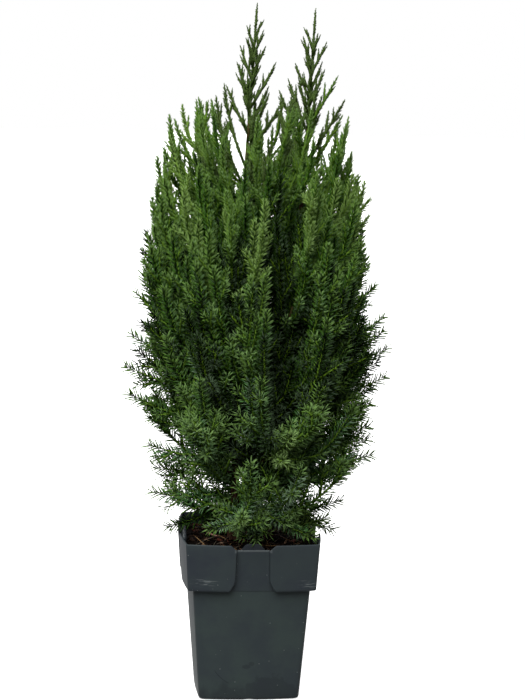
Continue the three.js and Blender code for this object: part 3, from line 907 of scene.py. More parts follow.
def pot_plastic(settings):
    """Worn satin plastic: clouded slate with damp stains, one scratch, scuffs and specks, and a painted
    highlight on the edge of each rim notch.
    """
    material, tree, shader = new_finish("pot_plastic", roughness=0.45, specular=0.12)
    place = object_place(tree)
    damp = pot_damp(tree, place)
    dark = greatest(tree, damp, pot_scratch(tree, place))
    darkened = blend(tree, dark, pot_slate(tree, place, settings), settings.damp)
    # Scuffs and specks are wear, and the lightened notch edges are a painted highlight.
    wear_and_highlight = greatest(tree, pot_scuffs(tree, place), pot_specks(tree, place), pot_lip_highlight(tree, place))
    feed(tree, shader.inputs["Base Color"], blend(tree, wear_and_highlight, darkened, settings.scuff_and_highlight))
    grain = speckle(tree, place, scale=900, detail=3)
    gloss = maths(tree, "MULTIPLY_ADD", damp, DAMP_GLOSS, DRY_ROUGHNESS)
    feed(tree, shader.inputs["Roughness"], maths(tree, "MULTIPLY_ADD", grain, GRAIN_ROUGHNESS, gloss))
    waves = maths(tree, "MULTIPLY_ADD", speckle(tree, place, scale=45, detail=2), WAVE_DEPTH, grain)
    relief(tree, shader, waves, strength=0.12, distance=0.0004)
    return material


def soil_finish(settings):
    """Dark crumbs with lighter tops, in patches."""
    material, tree, shader = new_finish("potting_soil", roughness=0.95, specular=0.02)
    place = object_place(tree)
    crumbs = speckle(tree, place, scale=260, detail=6, roughness=0.7)
    patches = between(tree, speckle(tree, place, scale=60), low=0.3, high=0.7)
    tone = product(tree, between(tree, crumbs, low=0.38, high=0.7), patches)
    feed(tree, shader.inputs["Base Color"], blend(tree, tone, settings.dark, settings.light))
    relief(tree, shader, crumbs, strength=0.8, distance=0.002)
    return material


def bark_finish(settings):
    """Fibrous bark in long strips: the pattern is drawn out along the height."""
    material, tree, shader = new_finish("juniper_bark", roughness=0.85, specular=0.03)
    place = object_place(tree)
    long, longish = (placed(tree, place, scale=(1, 1, run)) for run in (0.09, 0.2))
    strips = speckle(tree, long, scale=520, detail=5, roughness=0.6)
    weathered = between(tree, speckle(tree, longish, scale=260, detail=3), low=0.55, high=0.72)
    red = blend(tree, between(tree, strips, low=0.36, high=0.56), settings.dark, settings.red)
    pale = product(tree, weathered, PALE_STRENGTH)
    feed(tree, shader.inputs["Base Color"], blend(tree, pale, red, settings.pale))
    relief(tree, shader, strips, strength=0.7, distance=0.0008)
    return material


# Pot

def between_outlines(low, high, share):
    """The outline at a share of the way from one to another."""
    return Outline(*(mix(first, second, share) for first, second in zip(low, high)))


class PotForm:
    """The pot's shape: a place for each station, row and side."""

    def __init__(self, settings):
        self.height = settings.height
        self.foot = settings.height - settings.band_height

    def panel_edge(self, z):
        """Half the width, at a height, of the panel between the band's corner pieces."""
        above = progress(z, self.foot, PANEL_FLARE_HEIGHT)
        spread = PANEL_SPREAD * (1 - progress(z, self.foot, self.height - self.foot))
        return PANEL_HALF + spread + PANEL_FLARE * (1 - above) ** 2

    def top(self, x):
        """The height of the rim with its notch, aside from the middle of a side."""
        slope = progress(abs(x), NOTCH_FOOT_HALF, NOTCH_TOP_HALF - NOTCH_FOOT_HALF)
        return self.height - NOTCH_DEPTH * (1 - slope)

    def on_outline(self, station, outline, z):
        """The front side's point at a station, to the right of its middle."""
        zone, share, _ = station
        edge = outline.half
        start = edge - outline.corner
        if zone == "corner":
            first = mix(Vector((start, -edge)), Vector((edge, -edge)), share)
            second = mix(Vector((edge, -edge)), Vector((edge, -start)), share)
            return mix(first, second, share)
        panel = self.panel_edge(z)
        if zone == "panel":
            x = share * (panel - STEP_WIDTH)
        elif zone == "step":
            x = panel + share
        else:
            x = mix(panel + STEP_WIDTH, start, share)
        return Vector((x, -edge - outline.bow * (1 - (x / start) ** 2)))

    def level(self, row, station):
        """The height of a row where it passes a station."""
        kind, value, _, _ = row
        rim = self.top(self.on_outline(station, RIM, self.height).x)
        if kind in ("middle", "plain"):
            return value
        if kind == "body":
            return mix(FOOT_ROUND, self.foot - BODY_END, value)
        if kind == "foot":
            return self.foot + value
        if kind == "band":
            return mix(self.foot + LEDGE_WIDTH, rim - RIM_ROUND, value)
        if kind == "rim":
            return rim - value
        return mix(rim - RIM_ROUND, self.foot + RIM_ROUND, value)

    def point(self, column, row):
        """The point of a row at a column, counted round all four sides."""
        kind, _, lift, inset = row
        side, index = divmod(column, SIDE_COLUMNS)
        index -= SIDE_COLUMNS // 2
        station = STATIONS[abs(index)]
        z = self.level(row, station)
        if kind == "middle":
            return Vector((0, 0, z))
        body = between_outlines(BODY_FOOT, BODY_TOP, z / self.height)
        band = between_outlines(BAND_FOOT, RIM, (z - self.foot) / (self.height - self.foot))
        inner = self.on_outline(station, body._replace(half=body.half - inset), z)
        outer = self.on_outline(station, band._replace(half=band.half - inset), z)
        flat = mix(inner, outer, station[2] * lift)
        if index < 0:
            flat.x = -flat.x
        return (Matrix.Rotation(side * math.pi / 2, 3, "Z") @ flat.to_3d()) + Vector((0, 0, z))


def tongue(side):
    """An arched tab that stands behind a rim notch."""
    columns, rows = TONGUE_GRID
    bpy.ops.object.select_all(action="DESELECT")
    bpy.ops.mesh.primitive_grid_add(x_subdivisions=columns, y_subdivisions=rows, size=2, location=(0, 0, 0))
    tab = bpy.context.object
    face = BODY_TOP.half + BODY_TOP.bow - TONGUE_THICKNESS
    for vertex in tab.data.vertices:
        x = vertex.co.x * TONGUE_HALF
        fall = progress(abs(x), TONGUE_FLAT_HALF, TONGUE_HALF - TONGUE_FLAT_HALF)
        top = POT_HIGH.z - TONGUE_DROP - TONGUE_FALL * fall * fall * (3 - 2 * fall)
        z = mix(TONGUE_FOOT, top, (vertex.co.y + 1) / 2)
        y = -face + TONGUE_CURVE * (x * x)
        vertex.co = Matrix.Rotation(side * math.pi / 2, 3, "Z") @ Vector((x, y, z))
    select_only(tab)
    thick = tab.modifiers.new("thick", "SOLIDIFY")
    thick.thickness = TONGUE_THICKNESS
    thick.offset = 0
    bpy.ops.object.modifier_apply(modifier=thick.name)
    round_edge = tab.modifiers.new("round", "BEVEL")
    round_edge.width = TONGUE_ROUND
    round_edge.segments = 2
    bpy.ops.object.modifier_apply(modifier=round_edge.name)
    edit_all(tab, (bpy.ops.mesh.normals_make_consistent, {"inside": False}))
    return tab


def drain_cutter():
    """Round holes in the floor and a low arch under the middle of each side, as one cutter."""
    cutters = []
    arch_radius = (DRAIN_ARCH_HALF ** 2 + DRAIN_ARCH_HEIGHT ** 2) / (2 * DRAIN_ARCH_HEIGHT)
    for side in range(4):
        turn = Matrix.Rotation(side * math.pi / 2, 3, "Z")
        hole = turn @ Vector((DRAIN_HOLE_OFFSET, DRAIN_HOLE_OFFSET, 0))
        bpy.ops.mesh.primitive_cylinder_add(
            vertices=DRAIN_HOLE_SIDES, radius=DRAIN_HOLE_RADIUS, depth=4 * POT_FLOOR, location=hole)
        cutters.append(bpy.context.object)
        middle = turn @ Vector((0, -BODY_FOOT.half, DRAIN_ARCH_HEIGHT - arch_radius))
        bpy.ops.mesh.primitive_cylinder_add(
            vertices=DRAIN_ARCH_SIDES, radius=arch_radius, depth=2 * DRAIN_ARCH_DEPTH, location=middle,
            rotation=(math.pi / 2, 0, side * math.pi / 2))
        cutters.append(bpy.context.object)
    cutter = join("drain_cutter", cutters)
    bpy.ops.object.transform_apply(location=True, rotation=True, scale=True)
    return cutter


class JUNIPER_OT_pot(bpy.types.Operator):
    """Make the nursery pot with its band, rim notches, tongues and drain holes"""
    bl_idname = "juniper.make_pot"
    bl_label = "Pot"

    def execute(self, context):
        settings = context.scene.juniper_pot
        form = PotForm(settings)
        pot = sweep(
            "nursery_pot", 4 * SIDE_COLUMNS, len(POT_ROWS),
            lambda column, row: form.point(column, POT_ROWS[row]))
        cut_away(pot, drain_cutter())
        pot.data.materials.clear()
        pot.data.materials.append(pot_plastic(settings))
        tongues = [tongue(side) for side in range(4)]
        tongue_plastic = plain_finish("tongue_plastic", settings.darkened, roughness=0.5, specular=0.18)
        for tab in tongues:
            tab.data.materials.append(tongue_plastic)
        pot = join("nursery_pot", [pot] + tongues)
        smooth(pot, POT_CREASE)
        hand_over(pot, "pot_plastic", "pot")
        return {"FINISHED"}


# Soil

def soil_lift(x, y):
    """How far the soil stands above or below its level."""
    lift = sum(depth * noise.noise((x * scale, y * scale, scale)) for scale, depth in LUMPS)
    return lift - SOIL_SINK


def box_shapes(middles, sizes, turns, random):
    """Rough chips: boxes with every corner shifted a little, as points and triangles."""
    signs = np.array([(x, y, z) for x in (-1, 1) for y in (-1, 1) for z in (-1, 1)], float)
    corners = signs[None] * sizes[:, None] / 2 * random.uniform(*CHIP_CORNERS, (len(middles), *signs.shape))
    points = np.einsum("nij,nkj->nki", turns, corners) + middles[:, None]
    faces = np.array([[(a, b, c), (a, c, d)] for a, b, c, d in BOX_SIDES]).reshape(-1, 3)
    triangles = faces[None] + len(signs) * np.arange(len(middles))[:, None, None]
    return points.reshape(-1, 3), triangles.reshape(-1, 3)


def random_turns(count, random, tip):
    """Turned about the upright by any angle and tipped by up to tip, as matrices."""
    turns = []
    for _ in range(count):
        about = Matrix.Rotation(random.uniform(0, 2 * math.pi), 3, "Z")
        tipped = Matrix.Rotation(random.uniform(-tip, tip), 3, "Y")
        rolled = Matrix.Rotation(random.uniform(-tip, tip), 3, "X")
        turns.append(np.array(about @ tipped @ rolled))
    return np.array(turns)


def on_soil(count, random, lift):
    """Places on the soil, clear of the pot's wall."""
    spread = min(SOIL_HIGH.x, SOIL_HIGH.y) - SOIL_MARGIN
    flat = random.uniform(-spread, spread, (count, 2))
    heights = [SOIL_HIGH.z + soil_lift(x, y) + lift for x, y in flat]
    return np.column_stack([flat, heights])


def litter_finishes(kinds):
    """A plain finish for each kind of chip or straw."""
    return [plain_finish(kind.name, srgb(*kind.colour), kind.roughness, LITTER_SPECULAR) for kind in kinds]


class JUNIPER_OT_soil(bpy.types.Operator):
    """Fill the pot with lumpy soil, bark chips and straws"""
    bl_idname = "juniper.fill_soil"
    bl_label = "Soil"

    def execute(self, context):
        settings = context.scene.juniper_soil
        form = PotForm(context.scene.juniper_pot)
        wall = SOIL_GAP + POT_WALL
        floor = POT_FLOOR + SOIL_GAP
        edge = ("plain", SOIL_HIGH.z - SOIL_EDGE_DROP, 1, wall)
        below = (
            ("plain", form.foot + SOIL_OVER_STEP, 1, wall),
            ("plain", form.foot - SOIL_UNDER_STEP, 0, wall),
            ("plain", floor, 0, wall),
            ("middle", floor, 0, 0),
        )

        def place(column, row):
            if row > SOIL_RINGS:
                return form.point(column, below[row - SOIL_RINGS - 1])
            rim = form.point(column, edge)
            share = row / SOIL_RINGS
            x, y = rim.x * share, rim.y * share
            return Vector((x, y, SOIL_HIGH.z + soil_lift(x, y)))

        soil = sweep("potting_soil", 4 * SIDE_COLUMNS, SOIL_RINGS + 1 + len(below), place)
        smooth(soil, SOIL_CREASE)
        soil.data.materials.append(soil_finish(settings))
        hand_over(soil, "potting_soil", "soil")
        self.scatter_chips(settings.chips)
        self.scatter_straws(settings.straws)
        return {"FINISHED"}

    def scatter_chips(self, count):
        """Lays rough chips of bark on the soil, most of them dark."""
        random = np.random.default_rng(CHIP_SEED)
        sizes = random.uniform(CHIP_LEAST, CHIP_MOST, (count, 3))
        middles = on_soil(count, random, CHIP_RISE)
        turns = random_turns(count, random, CHIP_TIP)
        points, triangles = box_shapes(middles, sizes, turns, random)
        kinds = random.choice(len(CHIPS), count, p=[chip.share for chip in CHIPS])
        kinds = np.repeat(kinds, 2 * len(BOX_SIDES))
        chips = array_piece("bark_chips", points, triangles, kinds, litter_finishes(CHIPS))
        hand_over(chips, "potting_soil")

    def scatter_straws(self, count):
        """Lays thin straws and one thicker stick on the soil."""
        random = np.random.default_rng(STRAW_SEED)
        shares = [straw.share for straw in STRAWS]
        limit = SOIL_HIGH.x - STRAW_MARGIN
        straws = []
        for place in on_soil(count, random, STRAW_RISE):
            foot = Vector(place)
            heading = random.uniform(0, 2 * math.pi)
            length = random.uniform(*STRAW_LENGTH)
            run = Vector((math.cos(heading), math.sin(heading), random.uniform(*STRAW_SLOPE))) * length
            bend = foot + run / 2 + UP * random.uniform(0, STRAW_BOW)
            tip = foot + run
            if max(abs(tip.x), abs(tip.y)) > limit:
                continue
            tip.z = max(tip.z, foot.z)
            kind = int(random.choice(len(STRAWS), p=shares))
            straws.append(Twig(foot, bend, tip, STRAW_RADIUS, 0, (kind, kind), SIDE))
        foot, tip = STICK_ENDS
        straws.append(Twig(foot, (foot + tip) / 2, tip, STICK_RADIUS, 0, (len(STRAWS), len(STRAWS)), SIDE))
        finishes = litter_finishes((*STRAWS, STICK))
        shapes = tubes(straws, STRAW_SIDES, [straw.tints for straw in straws])
        hand_over(array_piece("soil_straws", *shapes, finishes), "potting_soil")


# The rule that limbs and plumes grow by

class Cubic:
    """A cubic curve through its first and last points, drawn to the two between."""

    def __init__(self, *points):
        self.points = points

    def point(self, t):
        a, b, c, d = self.points
        u = 1 - t
        return a * u ** 3 + b * (3 * u * u * t) + c * (3 * u * t * t) + d * t ** 3

    def tangent(self, t):
        a, b, c, d = self.points
        u = 1 - t
        return ((b - a) * (u * u) + (c - b) * (2 * u * t) + (d - c) * (t * t)).normalized()

    def at_height(self, height):
        """The point at a height, found by halving a curve that climbs."""
        low, high = 0, 1
        for _ in range(HALVINGS):
            middle = (low + high) / 2
            if self.point(middle).z < height:
                low = middle
            else:
                high = middle
        return self.point(low)


TRUNK = Cubic(TRUNK_FOOT, *TRUNK_BENDS, TRUNK_TIP)
SECOND = Cubic(TRUNK.point(SECOND_FORK), *SECOND_BENDS, SECOND_TIP)
LEADERS = {"main_spire": TRUNK, "second_spire": SECOND}

# A plume's label, the curve of its middle line, where its foliage starts on it, and its run of numbers
Plume = namedtuple("Plume", "label curve start random")


def seeded(seed):
    """A repeatable run of numbers from 0 to 1."""
    state = seed

    def draw():
        nonlocal state
        state = (state + SEED_STEP) & WORD
        mixed = (state ^ (state >> 15)) * (state | 1) & WORD
        mixed ^= (mixed + ((mixed ^ (mixed >> 7)) * (mixed | 61))) & WORD
        return (mixed ^ (mixed >> 14)) / (WORD + 1)

    return draw


def either(random, spread):
    """A draw from minus a spread to plus that spread."""
    return spread * (2 * random() - 1)


def sideways(tangent):
    """Two directions square to a tangent."""
    across = tangent.cross(FRONT).normalized()
    return across, across.cross(tangent)


def tier_plume(name, index):
    """One of a tier's plumes: a bough and the stem that goes on from it."""
    tier = TIERS[name]
    random = seeded(TIER_SEED * (list(TIERS).index(name) + 1) + PLUME_SEED * index)
    degrees = tier.first_azimuth + 360 * index / tier.count + either(random, AZIMUTH_SPREAD)
    azimuth = math.radians(degrees)
    reach = tier.reach + either(random, tier.reach_spread)
    height = tier.height + either(random, tier.height_spread)
    outward = Vector((math.cos(azimuth), math.sin(azimuth), 0))
    tip = CROWN_MIDDLE + outward * reach
    tip.z = height
    foot_height = tier.foot + tier.foot_step * ((index * FOOT_ORDER) % tier.count)
    on_second = foot_height > SECOND_BRANCHES_ABOVE and outward.x > SECOND_BRANCHES_TOWARDS
    foot = (SECOND if on_second else TRUNK).at_height(foot_height)
    level = tip - foot
    climb = level.z
    level.z = 0
    first_bend = foot + level * FIRST_BEND_OUT + UP * (climb * tier.rise * FIRST_BEND_RISE)
    last_bend = foot + level * LAST_BEND_OUT + UP * (climb * mix(tier.rise, 1, LAST_BEND_STRAIGHTENING))
    return Plume(f"{name}_{index + 1}", Cubic(foot, first_bend, last_bend, tip), tier.split, random)


def spire_plume(label):
    """The plume that goes on from the tip of a leader."""
    leader = LEADERS[label]
    tip = SPIRE_TIPS[label]
    foot = leader.point(1)
    onward = leader.tangent(1) * ((tip - foot).length / 3)
    curve = Cubic(foot, foot + onward, foot.lerp(tip, 2 / 3), tip)
    return Plume(label, curve, 0, seeded(SPIRE_SEEDS[label]))


def plumes(name):
    """The plumes of a tier, or the two spires."""
    if name == "spires":
        return [spire_plume(label) for label in SPIRE_TIPS]
    return [tier_plume(name, index) for index in range(TIERS[name].count)]


# Limbs

def limb(name, curve, end, radius_at, grid, ridge):
    """A tapering limb along a curve up to a share of it, with long strips of bark and closed ends."""
    columns, rows = grid

    def place(column, row):
        share = progress(row, 1, rows - 3)
        middle = curve.point(end * share)
        if row in (0, rows - 1):
            return middle
        across, behind = sideways(curve.tangent(end * share))
        turn = 2 * math.pi * column / columns
        x, y = math.cos(turn), math.sin(turn)
        along_limb = middle.z * BARK_RUN
        lift = sum(
            depth * noise.noise((often * x + offset, often * y, run * along_limb))
            for often, offset, run, depth in BARK_WAVES)
        return middle + (across * x + behind * y) * (radius_at(share) + ridge * lift)

    return sweep(name, columns, rows, place)


class JUNIPER_OT_trunk(bpy.types.Operator):
    """Grow the trunk and the second leader with the relief of their bark"""
    bl_idname = "juniper.grow_trunk"
    bl_label = "Trunk and second leader"

    def execute(self, context):
        settings = context.scene.juniper_bark
        finish = bark_finish(settings)
        length = TRUNK_TIP.z - TRUNK_FOOT.z

        def trunk_radius(share):
            return mix(*TRUNK_RADIUS, share) + TRUNK_FLARE * math.exp(-share * length / TRUNK_FLARE_HEIGHT)

        def second_radius(share):
            return mix(*SECOND_RADIUS, share)

        trunk = limb("trunk_bark", TRUNK, 1, trunk_radius, TRUNK_GRID, settings.ridge)
        second = limb(
            "second_leader_bark", SECOND, 1, second_radius, SECOND_GRID, settings.ridge * SECOND_RIDGE)
        for piece, node in ((trunk, "trunk"), (second, "second_leader")):
            smooth(piece, BARK_CREASE)
            piece.data.materials.append(finish)
            hand_over(piece, "bark", node)
        return {"FINISHED"}


class JUNIPER_OT_boughs(bpy.types.Operator):
    """Grow the boughs of one tier with the relief of their bark"""
    bl_idname = "juniper.grow_boughs"
    bl_label = "Boughs"
    tier: bpy.props.EnumProperty(name="Tier", description="Which tier of boughs", items=TIER_ITEMS)

    def execute(self, context):
        settings = context.scene.juniper_bark
        finish = bpy.data.materials.get("juniper_bark") or bark_finish(settings)
        grown = plumes(self.tier)

        def bough_radius(share):
            return mix(*BOUGH_RADIUS, share)

        limbs = [
            limb(f"bough_{plume.label}_bark", plume.curve, plume.start, bough_radius, BOUGH_GRID,
                 settings.ridge * BOUGH_RIDGE)
            for plume in grown
        ]
        boughs = join(f"boughs_{self.tier}", limbs)
        smooth(boughs, BARK_CREASE)
        boughs.data.materials.append(finish)
        hand_over(boughs, "bark", *(f"bough_{plume.label}" for plume in grown))
        return {"FINISHED"}


# Foliage

def along(twig, share):
    """The point of a twig at a share of its length, and its direction there."""
    first = mix(twig.foot, twig.bend, share)
    second = mix(twig.bend, twig.tip, share)
    return mix(first, second, share), (second - first).normalized()


def deal(weights, random):
    """One of the tints by their weights, and the tint of its young needles, as their places in the list."""
    draw = random() * sum(weights.values())
    for name, weight in weights.items():
        draw -= weight
        if draw <= 0:
            break
    names = list(TINTS)
    return names.index(name), names.index(TINTS[name].younger)


def side_direction(tangent, tilt, turn, lift):
    """The direction tilted from a tangent at a turn round it, and lifted."""
    across, behind = sideways(tangent)
    outward = across * math.cos(turn) + behind * math.sin(turn)
    return (tangent * math.cos(tilt) + outward * math.sin(tilt) + UP * lift).normalized()


def slimness(z):
    """How slim shoots are at a height, from 0 to 1."""
    return progress(z, WIDE_BELOW, SLIM_ABOVE - WIDE_BELOW)


def is_clear(point):
    """Above the soil inside the pot, and not in its wall."""
    side = max(abs(point.x), abs(point.y))
    if side > RIM.half + RIM.bow + POT_ROOM:
        return point.z > POT_HIGH.z - HANGING
    if side > BODY_TOP.half - WALL_ROOM:
        return point.z > POT_HIGH.z + RIM_ROOM
    return point.z > SOIL_HIGH.z + SOIL_ROOM


def twig_from(foot, direction, length, rise, radii, bare, tints, rank):
    """A twig that starts in a direction and bends upward."""
    onward = (direction + UP * rise).normalized()
    bend = foot + direction * (length / 2)
    return Twig(foot, bend, bend + onward * (length / 2), radii, bare, tints, rank)


def is_spire(plume):
    """The foliage of a spire starts at its foot, and that of a bough further out."""
    return plume.start == 0


def grow_forks(twig, length, tilt, random):
    """Forks round a twig, shorter towards its tip."""
    forks = []
    turn = 2 * math.pi * random()
    for index in range(int(length / FORK_SPACING)):
        turn += GOLDEN_ANGLE
        share = FIRST_FORK + FORK_RUN * (index + random()) * FORK_SPACING / length
        foot, tangent = along(twig, share)
        fork_length = (length * (1 - share) * FORK_SHARE + FORK_LEAST) * mix(*UNEVEN_LENGTH, random())
        direction = side_direction(tangent, tilt, turn, FORK_LIFT)
        forks.append(twig_from(foot, direction, fork_length, FORK_SWEEP, FORK_RADIUS, 0, twig.tints, SIDE))
    return forks


def grow_twigs(shoot, length, first, random):
    """Twigs round a shoot, shorter towards its tip, the longer ones forked."""
    twigs = []
    turn = 2 * math.pi * random()
    slim = slimness(shoot.bend.z)
    spacing = mix(*TWIG_SPACING, slim)
    longest = mix(*TWIG_LONGEST, slim)
    part = mix(*TWIG_SHARE, slim)
    last = mix(*LAST_TWIG, slim)
    count = max(1, round(length * (last - first) / spacing))
    for index in range(count):
        turn += GOLDEN_ANGLE
        share = mix(first, last, (index + random()) / count)
        foot, tangent = along(shoot, share)
        tilt = math.radians(mix(*TWIG_TILT, slim)) * mix(*UNEVEN, random())
        twig_length = min(longest, length * (1 - share) * part + TWIG_LEAST) * mix(*UNEVEN_LENGTH, random())
        direction = side_direction(tangent, tilt, turn, mix(*TWIG_LIFT, slim))
        twig = twig_from(foot, direction, twig_length, TWIG_SWEEP, TWIG_RADIUS, BARE_TWIG, shoot.tints, SIDE)
        if not is_clear(twig.tip) or in_gap(twig.tip):
            continue
        twigs.append(twig)
        if twig_length > FORKED_LENGTH:
            twigs += grow_forks(twig, twig_length, tilt, random)
    return twigs


def grow_plume(plume, growth):
    """The stem of a plume, its shoots by the source's rule, and their twigs."""
    random = plume.random
    stem_end = STEM_END * growth.end
    grown = []
    for index in range(STEM_PIECES):
        first = mix(plume.start, stem_end, index / STEM_PIECES)
        last = mix(plume.start, stem_end, min(1, (index + STEM_OVERLAP) / STEM_PIECES))
        foot, tip = plume.curve.point(first), plume.curve.point(last)
        bend = plume.curve.point((first + last) / 2) * 2 - (foot + tip) / 2
        radii = tuple(mix(*STEM_RADIUS, (index + end) / STEM_PIECES) for end in (0, 1))
        leafy = index / STEM_PIECES >= (LEAFY_SPIRE if is_spire(plume) else LEAFY_STEM)
        tints = deal(tints_at(tip), random)
        rank = SHOOT if index == STEM_PIECES - 1 else STEM
        stem = Twig(foot, bend, tip, radii, 0 if leafy else 1, tints, rank)
        grown.append(stem)
        if leafy and index < STEM_PIECES - 2:
            grown += grow_twigs(stem, (tip - foot).length, 0, random)
    return grown + grow_shoots(plume, growth)


def grow_shoots(plume, growth):
    """Shoots round a plume by the source's rule, each with its twigs."""
    random = plume.random
    last = LAST_SPIRE_SHOOT if is_spire(plume) else LAST_SHOOT
    grown = []
    turn = 2 * math.pi * random()
    for index in range(growth.shoots):
        turn += GOLDEN_ANGLE
        share = (index + random()) / growth.shoots
        t = mix(plume.start, growth.end, mix(FIRST_SHOOT, last, share))
        length = mix(growth.longest, growth.shortest, share) * (1 + either(random, LENGTH_SPREAD))
        tilt = math.radians(growth.tilt * mix(TILT_AT_FOOT, TILT_AT_TIP, share))
        foot = plume.curve.point(t)
        direction = side_direction(plume.curve.tangent(t), tilt, turn, growth.lift)
        shoot = twig_from(foot, direction, length, growth.sweep, SHOOT_RADIUS, BARE_SHOOT, None, SHOOT)
        reach = (shoot.tip - crown_middle(shoot.tip.z)).length
        too_far = not is_spire(plume) and reach > OVER_REACH * crown_radius(shoot.tip.z)
        if too_far or not is_clear(shoot.tip) or in_gap(shoot.tip) or in_gap(shoot.bend):
            continue
        shoot = shoot._replace(tints=deal(tints_at(shoot.tip), random))
        grown.append(shoot)
        grown += grow_twigs(shoot, length, FIRST_TWIG, random)
    return grown


def crown_radius(z):
    """How far the crown's outline stands from its middle line at a height."""
    if z > SHELL_WIDEST:
        fall = ((z - SHELL_WIDEST) / SHELL_ABOVE) ** CURVE_ABOVE
    else:
        fall = ((SHELL_WIDEST - z) / SHELL_BELOW) ** CURVE_BELOW
    return SHELL_RADIUS * max(0, 1 - fall) ** 0.5


def crown_middle(z):
    """The crown's middle at a height, further to the right low on the plant."""
    share = progress(z, SHELL_LOW, SHELL_HIGH - SHELL_LOW)
    return Vector((mix(*SHELL_MIDDLES, share), 0, z))


def fullness(z):
    """How close together shoots stand at a height."""
    return mix(OPEN_LOW, 1, progress(z, *FILLS_FROM)) * mix(1, OPEN_HIGH, progress(z, *THINS_FROM))


def in_gap(point):
    """In a gap between shoots, as seen from the front."""
    across = point.x - GAP_SLANT * point.y
    height = point.z + GAP_FALL * point.y
    gaps = SKY_GAPS
    if point.y < 0:
        gaps += (TRUNK_GAP,)
    if point.y < RECESS_FRONT:
        gaps += (RECESS,)
    return any(gap.left < across < gap.right and gap.low < height < gap.high for gap in gaps)


def tints_at(point):
    """The weights of the tints for a shoot that ends at a point."""
    reach = (point - crown_middle(point.z)).length
    inside, outside = next(tints for top, *tints in TINTS_UP_TO if point.z < top)
    # Shoots that end deep inside the crown take darker tints, partly as painted shade.
    return inside if reach < INSIDE * crown_radius(point.z) else outside


def stem_stands():
    """Points along every plume's stem and both leaders, from which shoots may be laid out."""
    stems = [
        (plume.curve, plume.start, STAND_END * growth.end)
        for name, growth in GROWTH.items() for plume in plumes(name)
    ]
    stems += [(leader, LEADER_STAND, 1) for leader in LEADERS.values()]
    return [
        curve.point(mix(start, end, step / STANDS))
        for curve, start, end in stems for step in range(STANDS + 1)
    ]


def leaning(outward, degrees):
    """The direction that leans from upright by degrees."""
    lean = math.radians(degrees)
    return outward * math.sin(lean) + UP * math.cos(lean)


def outline_tips(random):
    """Tips on the left and right outline, each with its way out, its lean and its length."""
    for x, z in OUTLINE_TIPS:
        tip = Vector((OUTLINE_SHARE * x, either(random, OUTLINE_DEPTH), z))
        fall = clamp((UPRIGHT_ABOVE - z) / OUTLINE_LEAN_RUN) ** OUTLINE_LEAN_CURVE
        lean = DROOPING_LEAN if z < DROOPING_BELOW else mix(*OUTLINE_LEAN, fall)
        yield tip, Vector((math.copysign(1, x), 0, 0)), lean, OUTLINE_LENGTH


def front_tips():
    """Tips over the soil in front, each with its way out, its lean and its length."""
    for x, y, z, heading, lean in FRONT_TIPS:
        heading = math.radians(heading)
        yield Vector((x, y, z)), Vector((math.cos(heading), math.sin(heading), 0)), lean, FRONT_LENGTH


def shell_tips(random):
    """Tips all round the crown's shells, each with its way out, its lean and its length."""
    levels = [mix(SHELL_LOW, SHELL_HIGH, step / SHELL_LEVELS) for step in range(SHELL_LEVELS + 1)]
    areas = np.cumsum([crown_radius(z) * fullness(z) for z in levels])
    for shell in SHELLS:
        for index in range(shell.shoots):
            area = (index + 0.5) / shell.shoots * areas[-1]
            z = float(np.interp(area, areas, levels)) + either(random, SHELL_HEIGHT_SPREAD)
            azimuth = index * GOLDEN_ANGLE + either(random, SHELL_TURN_SPREAD)
            lobe = LOBES * (azimuth - LOBE_AZIMUTH) + math.sin(LOBE_TWIST * z)
            facing = math.sin(azimuth) ** 2
            azimuth -= LOBE_PULL * facing * math.sin(lobe) / LOBES
            swell = 1 - LOBE_DEPTH * facing * (1 - math.cos(lobe)) / 2 + either(random, SHELL_SPREAD)
            outward = Vector((math.cos(azimuth), math.sin(azimuth), 0))
            tip = crown_middle(z) + outward * (crown_radius(z) * swell * shell.share)
            fall = clamp((UPRIGHT_ABOVE - z) / (UPRIGHT_ABOVE - SHELL_LOW)) ** SHELL_LEAN_CURVE
            length = mix(*shell.length, progress(z, *LENGTHENS_FROM)) * mix(*UNEVEN, random())
            yield tip, outward, mix(*shell.lean, fall) * mix(1, FRONT_LEAN, facing), length


def lay_shoot(tip, outward, lean, length, stands, random):
    """A shoot that ends at a tip with a lean, from the stand that it bends back to, and its span."""
    ideal = tip - leaning(outward, lean + BEND_BACK) * length
    foot = min(stands, key=lambda stand: (stand - ideal).length_squared)
    span = (tip - foot).length
    bend = tip - leaning(outward, lean) * (span / 2)
    bend += Vector([either(random, SHOOT_WOBBLE * span) for _ in range(3)])
    tints = deal(tints_at(tip), random)
    return Twig(foot, bend, tip, SHOOT_RADIUS, BARE_SHOOT, tints, SHOOT), span


def lay_out_shoots():
    """Shoots that fill the crown between its plumes, with their spans, by tier, and their run of numbers."""
    random = seeded(SHELL_SEED)
    stands = stem_stands()
    laid = {name: [] for name in TIERS}
    for tip, outward, lean, length in chain(outline_tips(random), front_tips(), shell_tips(random)):
        shoot, span = lay_shoot(tip, outward, lean, length, stands, random)
        if is_clear(tip) and not in_gap(tip) and not in_gap(shoot.bend):
            tier = min(TIERS, key=lambda name: abs(TIERS[name].height - tip.z))
            laid[tier].append((shoot, span))
    return laid, random


def twig_arrays(twigs):
    """The feet, bends, tips and lengths of many twigs."""
    feet, bends, tips = (np.array([twig[part] for twig in twigs]) for part in range(3))
    lengths = np.linalg.norm(bends - feet, axis=1) + np.linalg.norm(tips - bends, axis=1)
    return feet, bends, tips, lengths


def along_arrays(feet, bends, tips, share):
    """Points and directions of many twigs at their shares, with two directions square to each."""
    share = share[:, None]
    first = mix(feet, bends, share)
    second = mix(bends, tips, share)
    tangent = unit(second - first)
    across = unit(np.cross(tangent, np.array(FRONT)) + SLIVER)
    return mix(first, second, share), tangent, across, np.cross(across, tangent)


